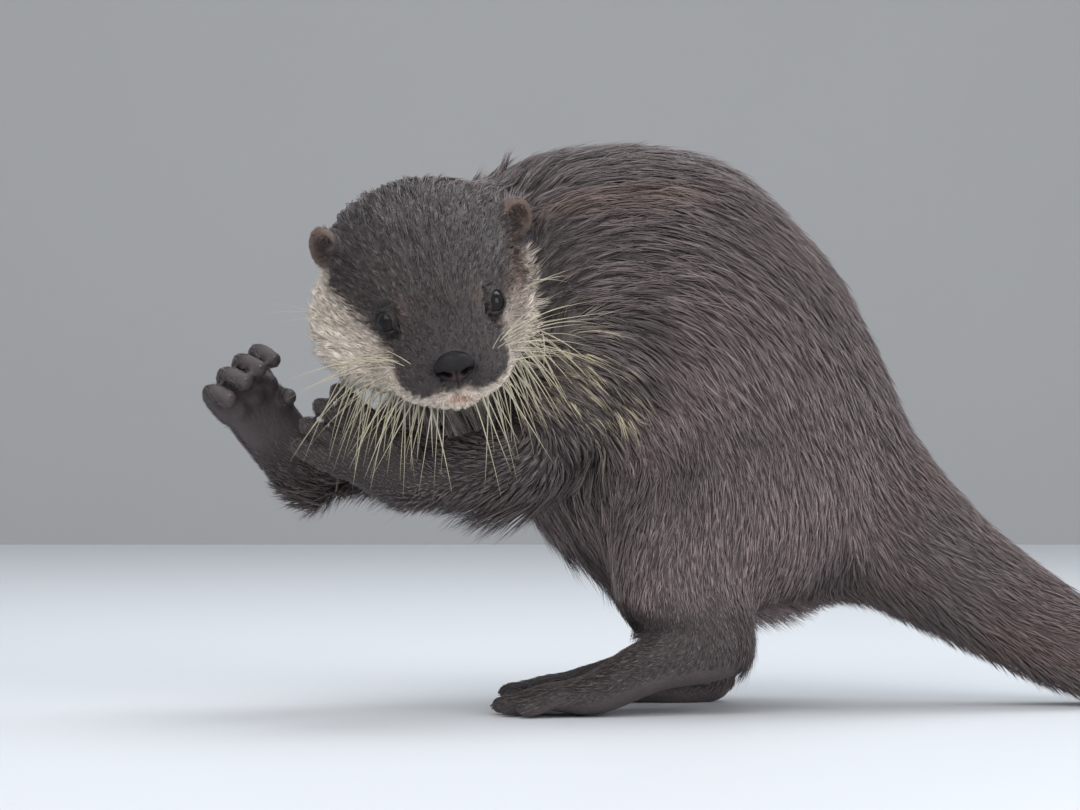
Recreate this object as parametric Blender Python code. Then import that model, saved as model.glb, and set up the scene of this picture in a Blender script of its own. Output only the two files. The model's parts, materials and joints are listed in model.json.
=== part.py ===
"""A life-size Asian small-clawed otter, still, as a museum model.

It stands on its hind feet with an arched back. The forepaws are raised to grip, the head is turned to
the animal's left and lowered, and the tail trails on the floor. The head lies toward -X, the animal's
left side toward -Y. Every size below is in millimetres and is the outside of the coat.
"""

import math

import bmesh
import bpy
import numpy as np
from mathutils import Matrix, Vector

MM = 0.001
GAP = 0.3  # air between two neighbouring solids
BLEND_VOXEL = 4.0  # the body's big forms are merged at this grain and then smoothed
HEAD_VOXEL = 2.4  # then the head's
FINE_VOXEL = 1.6  # and last the paws', the ears' and the nose's
TRIANGLES = 4700  # aim for the whole animal, before it is parted

# ---------------------------------------------------------------- driving dimensions
LEFT, RIGHT = -1, 1  # the sides, as the sign of Y
EYE_MIDDLE = (-37.0, -90.0, 152.6)  # the point halfway between the eyes
HEAD_YAW, HEAD_PITCH = 94.5, -33.0  # degrees from facing -X, level
HEAD_TILT = -11.0  # the crown leans toward -X
EYE_RADIUS = 5.0
EYE_PLACE = (-1.0, 1.0)  # forward and up of the point between the eyes
EYE_APART = 40.0
EAR_PLACE = (46.0, 10.0)  # behind and up of the same point
EAR_APART = 74.0
HIND_FOOT_WIDTH = 36.0
FOREPAW_WIDTH = 27.0

# where the limbs bend
LEFT_KNEE = Vector((42, -48, 58))
LEFT_HEEL = Vector((76, -43, 25))
LEFT_BALL = Vector((18, -46, 8.5))
RIGHT_KNEE = Vector((42, 36, 56))
RIGHT_HEEL = Vector((73, 22, 11))
RIGHT_BALL = Vector((20, 21, 7.5))
LEFT_SHOULDER = Vector((18, -40, 140))
LEFT_ELBOW = Vector((0, -57, 97))
LEFT_WRIST = Vector((-44, -64, 92))
LEFT_HAND = Vector((-50, -66, 91))  # the heel of the hand
LEFT_KNUCKLES = Vector((-74, -64, 107))
RIGHT_SHOULDER = Vector((-14, 36, 140))
RIGHT_ELBOW = Vector((-44, 26, 106))
RIGHT_WRIST = Vector((-87, -5, 98))
RIGHT_HAND = Vector((-95, -12, 95))
RIGHT_KNUCKLES = Vector((-117, -24, 126))
# the ways in which each hand's knuckles lie and its fingers close
LEFT_ACROSS, LEFT_CURL = Vector((0.65, 0, 0.75)), Vector((-0.2, 0.95, 0))
RIGHT_ACROSS, RIGHT_CURL = Vector((0.8, 0.5, 0.3)), Vector((0.55, -0.8, 0.1))

# what each kind of surface looks like (colour, roughness, metallic), and the nodes that have it
LOOKS = {
    "fur": ((0.068, 0.055, 0.054), 0.55, 0.0),
    "tail_fur": ((0.1, 0.078, 0.078), 0.55, 0.0),
    "paw_skin": ((0.066, 0.058, 0.064), 0.45, 0.0),
    "nose_skin": ((0.04, 0.034, 0.038), 0.4, 0.0),
    "eye": ((0.012, 0.01, 0.01), 0.06, 0.0),
}
SLOTS = {
    "tail_fur": ("tail_base", "tail_middle", "tail_tip"),
    "paw_skin": ("forepaw_left", "forepaw_right", "hind_foot_left", "hind_foot_right"),
    "nose_skin": ("nose",),
    "eye": ("eye_left", "eye_right"),
}

HEAD = (
    Matrix.Translation(Vector(EYE_MIDDLE))
    @ Matrix.Rotation(math.radians(HEAD_TILT), 4, "Y")
    @ Matrix.Rotation(math.radians(HEAD_YAW), 4, "Z")
    @ Matrix.Rotation(math.radians(HEAD_PITCH), 4, "Y")
)
BODY = Matrix.Identity(4)

# the places where the solids keep more triangles, each with how far it reaches
FINE_PLACES = (
    (HEAD @ Vector((-20, 0, -10)), 26),
    *((HEAD @ Vector((EAR_PLACE[0], EAR_APART / 2 * side, EAR_PLACE[1])), 13) for side in (LEFT, RIGHT)),
    (LEFT_KNUCKLES, 18),
    (RIGHT_KNUCKLES, 18),
    (LEFT_BALL + Vector((-22, 0, -4)), 20),
    (RIGHT_BALL + Vector((-22, 0, -4)), 20),
)
FINE_HOLD = 0.5  # of 1, which would keep every triangle there
FINE_SHARE = 0.4  # how strongly the rest gives way to them


# The cutters that part the nodes, in order. A box has its middle, half sizes and turn. A drum has
# stations like a loft's, and a few of them round an end off.
BOX, DRUM = "box", "drum"
CUTS = (
    ("forepaw_left", DRUM, BODY, (-49, -63, 90, 22, 18, 0), (-88, -60, 117, 22, 18, 0)),
    ("forepaw_right", DRUM, BODY, (-91, -9, 97, 28, 30, 0), (-122, -34, 146, 30, 30, 0)),
    ("forearm_left", DRUM, BODY, (-5, -61, 94, 26, 26, 0), (-60, -66, 90, 26, 26, 0)),
    ("forearm_right", DRUM, BODY, (-42, 27, 104, 26, 26, 0), (-116, -22, 93, 26, 26, 0)),
    ("ear_left", BOX, HEAD, (46, -41.5, 11), (9, 5.5, 13), (0, 0, 0)),
    ("ear_right", BOX, HEAD, (46, 41.5, 11), (9, 5.5, 13), (0, 0, 0)),
    ("nose", BOX, HEAD, (-40, 0, -4), (9, 8.2, 7.5), (0, 0, 0)),
    ("head", DRUM, HEAD, (54, 1.5, -8, 56, 45, 0), (-48, 0, -8, 35, 28, 0)),
    ("neck", BOX, BODY, (-80, -52, 190), (60, 46, 62), (0, 0, 35)),
    (
        "upper_arm_left",
        DRUM,
        BODY,
        (25, -64, 168, 10, 14, 0),
        (20, -63, 158, 20, 28, 0),
        (10, -64, 130, 24, 33, 0),
        (-8, -70, 72, 24, 30, 0),
    ),
    (
        "upper_arm_right",
        DRUM,
        BODY,
        (10, 62, 168, 10, 14, 0),
        (2, 62, 158, 20, 28, 0),
        (-20, 56, 130, 24, 33, 0),
        (-60, 40, 74, 22, 30, 0),
    ),
    ("hind_foot_left", BOX, BODY, (40, -50, 6), (70, 30, 25), (0, 0, 0)),
    ("hind_foot_right", BOX, BODY, (40, 25, 0), (70, 30, 23), (0, 0, 0)),
    ("shank_left", BOX, BODY, (55, -50, 38), (36, 26, 10), (0, 5, 0)),
    ("shank_right", BOX, BODY, (55, 47, 34), (36, 23, 14), (0, 5, 0)),
    ("thigh_left", DRUM, BODY, (80, -33, 84, 50, 48, 90), (80, -90, 84, 50, 48, 90)),
    ("thigh_right", DRUM, BODY, (80, 33, 84, 50, 48, 90), (80, 90, 84, 50, 48, 90)),
    ("tail_tip", BOX, BODY, (340, 20, 10), (60, 40, 40), (0, 0, 0)),
    ("tail_middle", BOX, BODY, (240, 5, 30), (40, 40, 60), (0, 0, 0)),
    ("tail_base", BOX, BODY, (200, 0, 60), (70, 60, 90), (0, 40, 0)),
    ("chest", BOX, BODY, (-60, 0, 150), (75, 90, 110), (0, 0, 0)),
    ("abdomen", BOX, BODY, (30, 0, 120), (38, 90, 130), (0, 0, 0)),
)


# ---------------------------------------------------------------- making shapes
def object_from(bm, name):
    """Links a bmesh as an object of that name."""
    bmesh.ops.recalc_face_normals(bm, faces=bm.faces)
    mesh = bpy.data.meshes.new(name)
    bm.to_mesh(mesh)
    bm.free()
    made = bpy.data.objects.new(name, mesh)
    bpy.context.scene.collection.objects.link(made)
    return made


def through(stations, spans):
    """Rows between the stations, each number running on a Catmull-Rom curve."""
    table = np.array(stations, float)
    ends = np.vstack([2 * table[0] - table[1], table, 2 * table[-1] - table[-2]])
    rows = []
    for a, b, c, d in zip(ends, ends[1:], ends[2:], ends[3:]):
        for t in np.arange(spans) / spans:
            bend = (2 * a - 5 * b + 4 * c - d) * t**2 + (3 * b - a - 3 * c + d) * t**3
            rows.append(0.5 * (2 * b + (c - a) * t + bend))
    rows.append(table[-1])
    return np.array(rows)


def rounded(angle, squareness):
    """A point of a unit superellipse: squareness 2 is a circle."""
    c, s = math.cos(angle), math.sin(angle)
    power = 2 / squareness
    return math.copysign(abs(c) ** power, c), math.copysign(abs(s) ** power, s)


def loft(name, stations, frame=BODY, sides=24, spans=6, squareness=2.25):
    """A closed tube through stations (x, y, z, half width, half height, turn of its left side in degrees)."""
    rows = through([s if len(s) == 6 else (*s, 0) for s in stations], spans)
    centres = rows[:, :3]
    along = np.gradient(centres, axis=0)
    bm = bmesh.new()
    rings = []
    for centre, tangent, (wide, high, turn) in zip(centres, along, rows[:, 3:]):
        tangent = Vector(tangent).normalized()
        left = Vector((math.sin(math.radians(turn)), -math.cos(math.radians(turn)), 0))
        left = (left - tangent * left.dot(tangent)).normalized()
        up = tangent.cross(left)
        ring = []
        for i in range(sides):
            a, b = rounded(2 * math.pi * i / sides, squareness)
            point = Vector(centre) + left * (wide * a) + up * (high * b)
            ring.append(bm.verts.new((frame @ point) * MM))
        rings.append(ring)
    for one, two in zip(rings, rings[1:]):
        for i in range(sides):
            j = (i + 1) % sides
            bm.faces.new((one[i], one[j], two[j], two[i]))
    for ring in (rings[0], rings[-1]):
        middle = bm.verts.new(sum((v.co for v in ring), Vector()) / sides)
        for i in range(sides):
            bm.faces.new((ring[i], ring[(i + 1) % sides], middle))
    return object_from(bm, name)


def ball(name, centre, radii, frame=BODY, turn=(0, 0, 0), detail=3):
    """An ellipsoid of these radii, turned by XYZ degrees about its centre."""
    bm = bmesh.new()
    shape = (
        frame
        @ Matrix.Translation(Vector(centre))
        @ Matrix.Rotation(math.radians(turn[2]), 4, "Z")
        @ Matrix.Rotation(math.radians(turn[1]), 4, "Y")
        @ Matrix.Rotation(math.radians(turn[0]), 4, "X")
        @ Matrix.Diagonal((*radii, 1))
    )
    bmesh.ops.create_icosphere(bm, subdivisions=detail, radius=1, matrix=Matrix.Scale(MM, 4) @ shape)
    return object_from(bm, name)


def apply_modifiers(made):
    """Bakes an object's modifiers into its mesh."""
    graph = bpy.context.evaluated_depsgraph_get()
    mesh = bpy.data.meshes.new_from_object(made.evaluated_get(graph))
    made.modifiers.clear()
    old = made.data
    made.data = mesh
    bpy.data.meshes.remove(old)


def merged(name, shapes, voxel, smoothing, strength=0.5):
    """One closed skin round overlapping shapes, smoothed where they meet."""
    bm = bmesh.new()
    for shape in shapes:
        bm.from_mesh(shape.data)
        bpy.data.objects.remove(shape)
    made = object_from(bm, name)
    remesh = made.modifiers.new("Remesh", "REMESH")
    remesh.mode = "VOXEL"
    remesh.voxel_size = voxel * MM
    smooth = made.modifiers.new("Smooth", "SMOOTH")
    smooth.factor = strength
    smooth.iterations = smoothing
    apply_modifiers(made)
    return made


# ---------------------------------------------------------------- body forms
def spine():
    """Tail and trunk in one run, from the tail's tip, over the arched back, into the head."""
    return loft(
        "spine",
        [
            (362, 31, 4, 2, 2, 0),
            (352, 28, 5.5, 6, 5.5, 0),
            (320, 20, 8.5, 11, 9.5, 0),
            (285, 12, 11, 14.5, 12, 0),
            (250, 6, 14.5, 17.5, 15, 0),
            (218, 2, 22, 21, 18, 0),
            (185, 0, 40, 24, 21.5, 0),
            (156, 0, 59, 30, 26.5, 0),
            (125, 0, 82, 40, 36, 0),
            (102, 0, 103, 49, 49, 0),
            (80, 0, 125, 53, 59, 0),
            (60, 0, 147, 55, 62, 0),
            (43, 0, 158, 56, 66, 0),
            (22, 1, 163, 55, 60.5, 8),
            (-6, 0, 159, 52, 58, 24),
            (-26, -14, 161, 47, 49, 52),
            (-36, -30, 169, 42, 40, 80),
            (-37, -46, 172, 40, 34, 90),
        ],
        sides=40,
    )


def belly():
    """The sagging underside between the chest and the groin."""
    return loft(
        "belly",
        [
            (-2, 0, 126, 36, 28),
            (12, 0, 114, 42, 35),
            (29, 0, 98, 45, 38),
            (46, 0, 83, 46, 37),
            (66, 0, 73, 44, 33),
            (90, 0, 67, 36, 28),
            (112, 0, 66, 27, 24),
            (126, 0, 72, 18, 14),
        ],
        sides=32,
    )


def haunch(side):
    """The rump's muscle on one side. Side is -1 for the animal's left, 1 for its right."""
    return ball("haunch", (92, 27 * side, 78), (31, 25, 38), turn=(0, 20, 0))


def hind_leg(side, heel, knee):
    """Thigh and shank down to the heel."""
    hip = Vector((88, 32 * side, 98))
    inward = Vector((0, -2 * side, 0))
    thigh = loft(
        "thigh",
        [
            (*(hip + Vector((8, 0, 10))), 24, 34),
            (*hip, 26, 40),
            (*hip.lerp(knee, 0.4), 26, 37),
            (*hip.lerp(knee, 0.75), 22, 30),
            (*knee, 17, 21),
            (*(knee + Vector((-6, 0, -4))), 9, 12),
        ],
    )
    shank = loft(
        "shank",
        [
            (*(knee + Vector((4, 0, 10))), 15, 20),
            (*knee.lerp(heel, 0.2), 17, 21),
            (*knee.lerp(heel, 0.55), 15.5, 18),
            (*(knee.lerp(heel, 0.85) + inward), 13, 14),
            (*(heel + inward), 10.5, 10.5),
            (*(heel + Vector((3, 0, -3))), 6, 6),
        ],
    )
    return [thigh, shank]


def arm(shoulder, elbow, wrist, beyond):
    """Shoulder, upper arm and forearm, run on a little past the wrist."""
    upper = loft(
        "upper_arm",
        [
            (*(shoulder + (shoulder - elbow) * 0.25), 14, 18),
            (*shoulder, 22, 30),
            (*shoulder.lerp(elbow, 0.45), 20, 26),
            (*shoulder.lerp(elbow, 0.8), 17, 20),
            (*elbow, 15, 17),
            (*(elbow + (elbow - shoulder) * 0.08), 9, 10),
        ],
    )
    lower = loft(
        "forearm",
        [
            (*(elbow + (elbow - wrist) * 0.22), 9, 10),
            (*(elbow + (elbow - wrist) * 0.08), 15, 16),
            (*elbow.lerp(wrist, 0.25), 16, 17.5),
            (*elbow.lerp(wrist, 0.65), 14, 15.5),
            (*wrist, 12.5, 13),
            (*beyond, 11, 11),
        ],
    )
    return [upper, lower]


# ---------------------------------------------------------------- feet and forepaws
def toe(name, points, radius, tip):
    """A digit through points, its radius falling to the tip's."""
    last = len(points) - 1
    sized = [(*p, *(2 * [radius + (tip - radius) * i / last])) for i, p in enumerate(points)]
    end = Vector(points[-1]) + (Vector(points[-1]) - Vector(points[-2])).normalized() * tip * 0.8
    return loft(name, [*sized, (*end, tip * 0.45, tip * 0.45)], sides=12, spans=4, squareness=2)


def hind_foot(side, heel, ball_of_foot, rise):
    """A long foot: heel, sole and five webbed toes that point to -X. Rise is how high its middle stands."""
    x, y, z = ball_of_foot
    wide = HIND_FOOT_WIDTH / 2
    sole = loft(
        "sole",
        [
            (heel.x + 6, heel.y, heel.z + 1, 6, 6),
            (heel.x, heel.y, heel.z + 1, 11, 11),
            (heel.x - 14, heel.y + (y - heel.y) * 0.2, heel.z * 0.85 + rise * 0.4, 13.5, 12.5),
            (heel.x - 32, heel.y + (y - heel.y) * 0.55, heel.z * 0.55 + z * 0.45 + rise * 0.3, 15.5, 11),
            (x + 4, y, z, wide, 8.5),
            (x - 10, y, z - 1.5, wide, 6.2),
            (x - 17, y, z - 2.5, wide * 0.9, 4.2),
        ],
        squareness=2.6,
    )
    toes = []
    for across, reach in ((-13.5, 24), (-7, 31), (0, 34), (7, 32), (13.5, 26)):
        out = across * 0.28
        toes.append(
            toe(
                "toe",
                [
                    (x + 2, y + across * 0.85, z - 0.5),
                    (x - reach * 0.45, y + across + out * 0.4, z - 1.2),
                    (x - reach * 0.78, y + across + out * 0.8, 5.2),
                    (x - reach, y + across + out, 3.6),
                ],
                5.2,
                3.7,
            )
        )
    return [sole, *toes]


def forepaw(heel, knuckles, across, curl):
    """A gripping forepaw: palm, four curled fingers and a thumb.

    It runs from the heel of the hand to the row of knuckles. Across is the way the knuckles lie, from
    the little finger to the thumb, and curl is the way in which the fingers close.
    """
    along = (knuckles - heel).normalized()
    across = (across - along * across.dot(along)).normalized()
    curl = (curl - along * curl.dot(along) - across * curl.dot(across)).normalized()
    turn = math.degrees(math.atan2(across.x, -across.y))
    wide = FOREPAW_WIDTH / 2
    palm = loft(
        "palm",
        [
            (*(heel - along * 9), wide * 0.72, 9, turn),
            (*heel, wide * 0.9, 11, turn),
            (*heel.lerp(knuckles, 0.35), wide * 0.98, 10.5, turn),
            (*heel.lerp(knuckles, 0.75), wide, 9, turn),
            (*knuckles, wide * 0.96, 7.5, turn),
            (*(knuckles + along * 3), wide * 0.8, 5, turn),
        ],
        squareness=2.5,
    )
    fingers = []
    for place, reach in ((-1.0, 0.86), (-0.36, 1.0), (0.3, 1.0), (0.94, 0.88)):
        base = knuckles + across * (place * wide * 0.78)
        fingers.append(
            toe(
                "finger",
                [
                    base - along * 5,
                    base + (along * 5.5 + curl * 1) * reach,
                    base + (along * 9.5 + curl * 8) * reach,
                    base + (along * 7 + curl * 15.5) * reach,
                ],
                4.9,
                3.6,
            )
        )
    root = heel.lerp(knuckles, 0.45) + across * wide * 0.6
    thumb = toe(
        "thumb",
        [
            root - across * 4,
            root + across + along * 5,
            root + across * 1.5 + along * 9 + curl * 7,
            root + along * 10 + curl * 13,
        ],
        4.8,
        3.6,
    )
    return [palm, *fingers, thumb]


# ---------------------------------------------------------------- head forms, in the head's own frame
def skull_and_jaw():
    """The head's big forms: skull, jaw, cheeks, whisker pads and chin. -X is forward, -Y its left."""
    skull = loft(
        "skull",
        [
            (76, 0, -8, 32, 25),
            (60, 1, -4, 38, 28),
            (44, 1, -3, 39.5, 28.5),
            (28, 0, -3, 35.5, 26.5),
            (14, 0, -4, 30, 24),
            (2, 0, -5, 24.5, 20.5),
            (-9, 0, -7, 20.5, 16.5),
            (-19, 0, -8.5, 17.5, 13.5),
            (-27, 0, -9.5, 14.5, 11),
            (-32, 0, -10, 8, 6.5),
        ],
        frame=HEAD,
        sides=32,
        squareness=2.1,
    )
    jaw = loft(
        "jaw",
        [
            (74, 0, -22, 33, 24),
            (58, 2, -20, 40, 25),
            (42, 3, -18, 44, 24),
            (27, 3, -17, 44, 21.5),
            (14, 2, -16.5, 40.5, 18.5),
            (3, 0.5, -17, 34.5, 16),
            (-8, 0, -17.5, 27.5, 14),
            (-17, 0, -18, 22, 12),
            (-25, 0, -18.5, 15.5, 9),
            (-30, 0, -19, 8, 5),
        ],
        frame=HEAD,
        sides=32,
        squareness=2.1,
    )
    pads = [
        ball("whisker_pad", (-20, 11.5 * side, -12.5), (14, 11.5, 10.5), frame=HEAD, turn=(0, 0, 12 * side))
        for side in (LEFT, RIGHT)
    ]
    chin = ball("chin", (-18, 0, -23), (13, 12, 6.5), frame=HEAD)
    return [skull, jaw, chin, *pads]


def face_details():
    """Nose and ears."""
    nose = ball("nose", (-31.5, 0, -5), (6, 7.8, 6.2), frame=HEAD)
    return [nose, ear(LEFT), ear(RIGHT)]


def ear(side):
    """A small round ear, standing from the side of the head and facing forward."""
    return ball(
        "ear",
        (EAR_PLACE[0], EAR_APART / 2 * side, EAR_PLACE[1]),
        (3.8, 8.6, 9.6),
        frame=HEAD,
        turn=(0, 8, -24 * side),
    )


def whole_animal():
    """The animal as one closed skin."""
    big = [
        spine(),
        belly(),
        haunch(LEFT),
        haunch(RIGHT),
        *hind_leg(LEFT, LEFT_HEEL, LEFT_KNEE),
        *hind_leg(RIGHT, RIGHT_HEEL, RIGHT_KNEE),
        *arm(LEFT_SHOULDER, LEFT_ELBOW, LEFT_WRIST, LEFT_HAND),
        *arm(RIGHT_SHOULDER, RIGHT_ELBOW, RIGHT_WRIST, RIGHT_HAND),
    ]
    body = merged("body", big, BLEND_VOXEL, smoothing=10)
    middle = merged("middle", [body, *skull_and_jaw()], HEAD_VOXEL, smoothing=8)
    fine = [
        middle,
        *face_details(),
        *hind_foot(LEFT, LEFT_HEEL, LEFT_BALL, rise=6),
        *hind_foot(RIGHT, RIGHT_HEEL, RIGHT_BALL, rise=2),
        *forepaw(LEFT_HAND, LEFT_KNUCKLES, LEFT_ACROSS, LEFT_CURL),
        *forepaw(RIGHT_HAND, RIGHT_KNUCKLES, RIGHT_ACROSS, RIGHT_CURL),
    ]
    return merged("otter", fine, FINE_VOXEL, smoothing=4)


# ---------------------------------------------------------------- parting
def box(frame, middle, half, turn=(0, 0, 0), grow=0.0):
    """A box for cutting, of these half sizes, turned by XYZ degrees about its middle."""
    bm = bmesh.new()
    shape = (
        frame
        @ Matrix.Translation(Vector(middle))
        @ Matrix.Rotation(math.radians(turn[2]), 4, "Z")
        @ Matrix.Rotation(math.radians(turn[1]), 4, "Y")
        @ Matrix.Rotation(math.radians(turn[0]), 4, "X")
        @ Matrix.Diagonal((*(h + grow for h in half), 1))
    )
    bmesh.ops.create_cube(bm, size=2, matrix=Matrix.Scale(MM, 4) @ shape)
    return object_from(bm, "box")


def drum(frame, *stations, grow=0.0):
    """A straight cutter with an oval section through stations (x, y, z, half width, half height, turn)."""
    along = (Vector(stations[-1][:3]) - Vector(stations[0][:3])).normalized() * grow
    moved = []
    for i, (x, y, z, wide, high, turn) in enumerate(stations):
        way = (i == len(stations) - 1) - (i == 0)
        moved.append((*(Vector((x, y, z)) + along * way), wide + grow, high + grow, turn))
    return loft("drum", moved, frame, sides=16, spans=1, squareness=2.6)


def boolean(made, other, operation):
    """Cuts an object with another, which is used up."""
    cut = made.modifiers.new("Cut", "BOOLEAN")
    cut.object = other
    cut.operation = operation
    cut.solver = "EXACT"
    apply_modifiers(made)
    bpy.data.objects.remove(other)


def part_off(rest, name, kind, *sizes):
    """Parts off what of the rest lies in a cutter, and leaves a thin gap round it."""
    cutter = box if kind == BOX else drum
    piece = rest.copy()
    piece.data = rest.data.copy()
    piece.name = name
    bpy.context.scene.collection.objects.link(piece)
    boolean(piece, cutter(*sizes), "INTERSECT")
    boolean(rest, cutter(*sizes, grow=GAP), "DIFFERENCE")
    return piece


def thinned(made, triangles):
    """Brings a mesh down to about this many triangles, and keeps more of them where the form is fine."""
    fine = made.vertex_groups.new(name="fine")
    for vertex in made.data.vertices:
        near = min((vertex.co / MM - Vector(place)).length / reach for place, reach in FINE_PLACES)
        fine.add([vertex.index], FINE_HOLD * min(max(2 - near, 0), 1), "REPLACE")
    made.data.calc_loop_triangles()
    decimate = made.modifiers.new("Decimate", "DECIMATE")
    decimate.ratio = triangles / len(made.data.loop_triangles)
    decimate.use_collapse_triangulate = True
    decimate.vertex_group = fine.name
    decimate.invert_vertex_group = True
    decimate.vertex_group_factor = FINE_SHARE
    apply_modifiers(made)


def eye(head, side):
    """Sets an eyeball into a socket of the head."""
    name = "eye_left" if side == LEFT else "eye_right"
    place = (EYE_PLACE[0], EYE_APART / 2 * side, EYE_PLACE[1])
    boolean(head, ball("socket", place, 3 * [EYE_RADIUS + GAP], HEAD, detail=2), "DIFFERENCE")
    return ball(name, place, 3 * [EYE_RADIUS], HEAD, detail=2)


def parted(otter):
    """The nodes by name. The parts farthest out come off first and the rump is what stays."""
    nodes = {name: part_off(otter, name, *cutter) for name, *cutter in CUTS}
    otter.name = "rump"
    nodes["rump"] = otter
    for side in (LEFT, RIGHT):
        eyeball = eye(nodes["head"], side)
        nodes[eyeball.name] = eyeball
    return nodes


# ---------------------------------------------------------------- placing and colouring
def set_on_origin(nodes):
    """Moves the nodes so that the middle of the whole box's underside is the origin."""
    points = np.array([v.co for node in nodes for v in node.data.vertices])
    low, high = points.min(axis=0), points.max(axis=0)
    shift = Matrix.Translation((-(low[0] + high[0]) / 2, -(low[1] + high[1]) / 2, -low[2]))
    for node in nodes:
        node.data.transform(shift)


def coloured(node):
    """Gives a node a material of its own."""
    kind = next((k for k, names in SLOTS.items() if node.name in names), "fur")
    colour, roughness, metallic = LOOKS[kind]
    material = bpy.data.materials.new(f"{kind}_{node.name}")
    material.use_nodes = True
    shader = material.node_tree.nodes["Principled BSDF"]
    shader.inputs["Base Color"].default_value = (*colour, 1)
    shader.inputs["Roughness"].default_value = roughness
    shader.inputs["Metallic"].default_value = metallic
    node.data.materials.clear()
    node.data.materials.append(material)


def main():
    for old in list(bpy.data.objects):
        bpy.data.objects.remove(old)
    otter = whole_animal()
    thinned(otter, TRIANGLES)
    boolean(otter, box(BODY, (100, 0, -50), (400, 200, 50)), "DIFFERENCE")
    nodes = list(parted(otter).values())
    set_on_origin(nodes)
    for node in nodes:
        coloured(node)


main()
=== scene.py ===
import json
import math
from collections import namedtuple

import bmesh
import bpy
import numpy as np
from bpy.props import FloatProperty, FloatVectorProperty, IntProperty, PointerProperty
from mathutils import Matrix, Vector
from mathutils.bvhtree import BVHTree
from mathutils.kdtree import KDTree

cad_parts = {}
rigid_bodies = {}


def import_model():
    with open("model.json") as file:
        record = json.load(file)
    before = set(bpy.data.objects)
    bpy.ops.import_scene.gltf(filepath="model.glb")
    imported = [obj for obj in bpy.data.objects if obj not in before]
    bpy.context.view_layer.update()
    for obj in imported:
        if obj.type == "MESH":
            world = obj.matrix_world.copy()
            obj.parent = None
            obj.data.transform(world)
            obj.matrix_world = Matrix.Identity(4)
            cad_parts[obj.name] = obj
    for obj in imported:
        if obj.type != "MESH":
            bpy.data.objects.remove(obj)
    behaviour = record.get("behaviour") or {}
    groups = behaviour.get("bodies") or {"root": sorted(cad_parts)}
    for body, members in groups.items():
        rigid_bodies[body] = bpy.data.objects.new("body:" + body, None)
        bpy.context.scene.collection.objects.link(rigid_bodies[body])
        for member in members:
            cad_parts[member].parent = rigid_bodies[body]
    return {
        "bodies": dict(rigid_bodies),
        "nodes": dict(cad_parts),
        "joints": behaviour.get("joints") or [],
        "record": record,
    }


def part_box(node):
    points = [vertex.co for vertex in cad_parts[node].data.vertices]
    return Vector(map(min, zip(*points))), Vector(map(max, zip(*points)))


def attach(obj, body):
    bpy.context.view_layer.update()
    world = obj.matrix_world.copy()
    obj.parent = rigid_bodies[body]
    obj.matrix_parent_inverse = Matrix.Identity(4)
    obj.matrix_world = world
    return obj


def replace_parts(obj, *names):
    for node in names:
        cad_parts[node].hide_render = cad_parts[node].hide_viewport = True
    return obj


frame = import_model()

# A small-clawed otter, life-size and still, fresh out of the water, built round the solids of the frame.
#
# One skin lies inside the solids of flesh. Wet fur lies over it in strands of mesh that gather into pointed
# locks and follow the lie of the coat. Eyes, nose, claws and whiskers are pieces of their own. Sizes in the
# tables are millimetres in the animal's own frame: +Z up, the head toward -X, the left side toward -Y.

bl_info = {
    "name": "Small-clawed Otter",
    "version": (1, 0, 0),
    "blender": (4, 5, 0),
    "location": "View3D > Sidebar > Otter",
    "description": "Dresses the solids of a life-size otter in skin, wet fur, eyes, nose, claws and whiskers",
    "category": "Object",
}

MM = 0.001
SKIN_TRIANGLES = 185000
SKIN_GAP, HAIR_GAP = 0.2 * MM, 0.4 * MM  # the least height of the skin and the hair over the floor
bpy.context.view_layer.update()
LEFT, RIGHT = -1, 1  # the animal's sides, as the sign of Y
SIDES = (LEFT, RIGHT)

# ---------------------------------------------------------------- places, from the frame
EYE_MIDDLE = Vector((-37.0, -90.0, 152.6))  # the point halfway between the eyes
HEAD_YAW, HEAD_PITCH, HEAD_TILT = 94.5, -33.0, -11.0  # degrees, as the solids have them
EYE_PLACE = (-1.0, 20.0, 1.0)  # a solid eye's middle in the head's frame; Y is turned over for the left
EYE_SEAT = (-1.4, 18.8, 1.2)  # and the finished eyeball's
EYE_LOOKS = (-0.6, 0.72, 0.36)
NOSE_SEAT, NOSE_SIZE = (-31.0, 0.0, -5.4), (4.2, 7.2, 5.9)
HEAD_TURN = (
    Matrix.Rotation(math.radians(HEAD_TILT), 4, "Y")
    @ Matrix.Rotation(math.radians(HEAD_YAW), 4, "Z")
    @ Matrix.Rotation(math.radians(HEAD_PITCH), 4, "Y")
)


def middle_of(node):
    """The middle of a solid's box, in millimetres."""
    low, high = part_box(node)
    return (low + high) / 2 / MM


EYES_SEEN = (middle_of("eye_left") + middle_of("eye_right")) / 2
HOME = Matrix.Translation(EYES_SEEN - HEAD_TURN @ Vector((EYE_PLACE[0], 0, EYE_PLACE[2])) - EYE_MIDDLE)
BODY = Matrix.Scale(MM, 4) @ HOME  # from the animal's millimetres to the frame's metres
HEAD = BODY @ Matrix.Translation(EYE_MIDDLE) @ HEAD_TURN

FLESH = tuple(n for n in frame["nodes"] if not n.startswith("eye_") and n != "nose")
REBUILT = ("ear_left", "ear_right", "forepaw_left", "forepaw_right", "hind_foot_left", "hind_foot_right")

# where the limbs bend
LEFT_KNEE, RIGHT_KNEE = Vector((42, -48, 58)), Vector((42, 36, 56))
LEFT_HEEL, LEFT_BALL = Vector((76, -43, 25)), Vector((18, -46, 8.5))
RIGHT_HEEL, RIGHT_BALL = Vector((73, 22, 11)), Vector((20, 21, 7.5))
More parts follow.
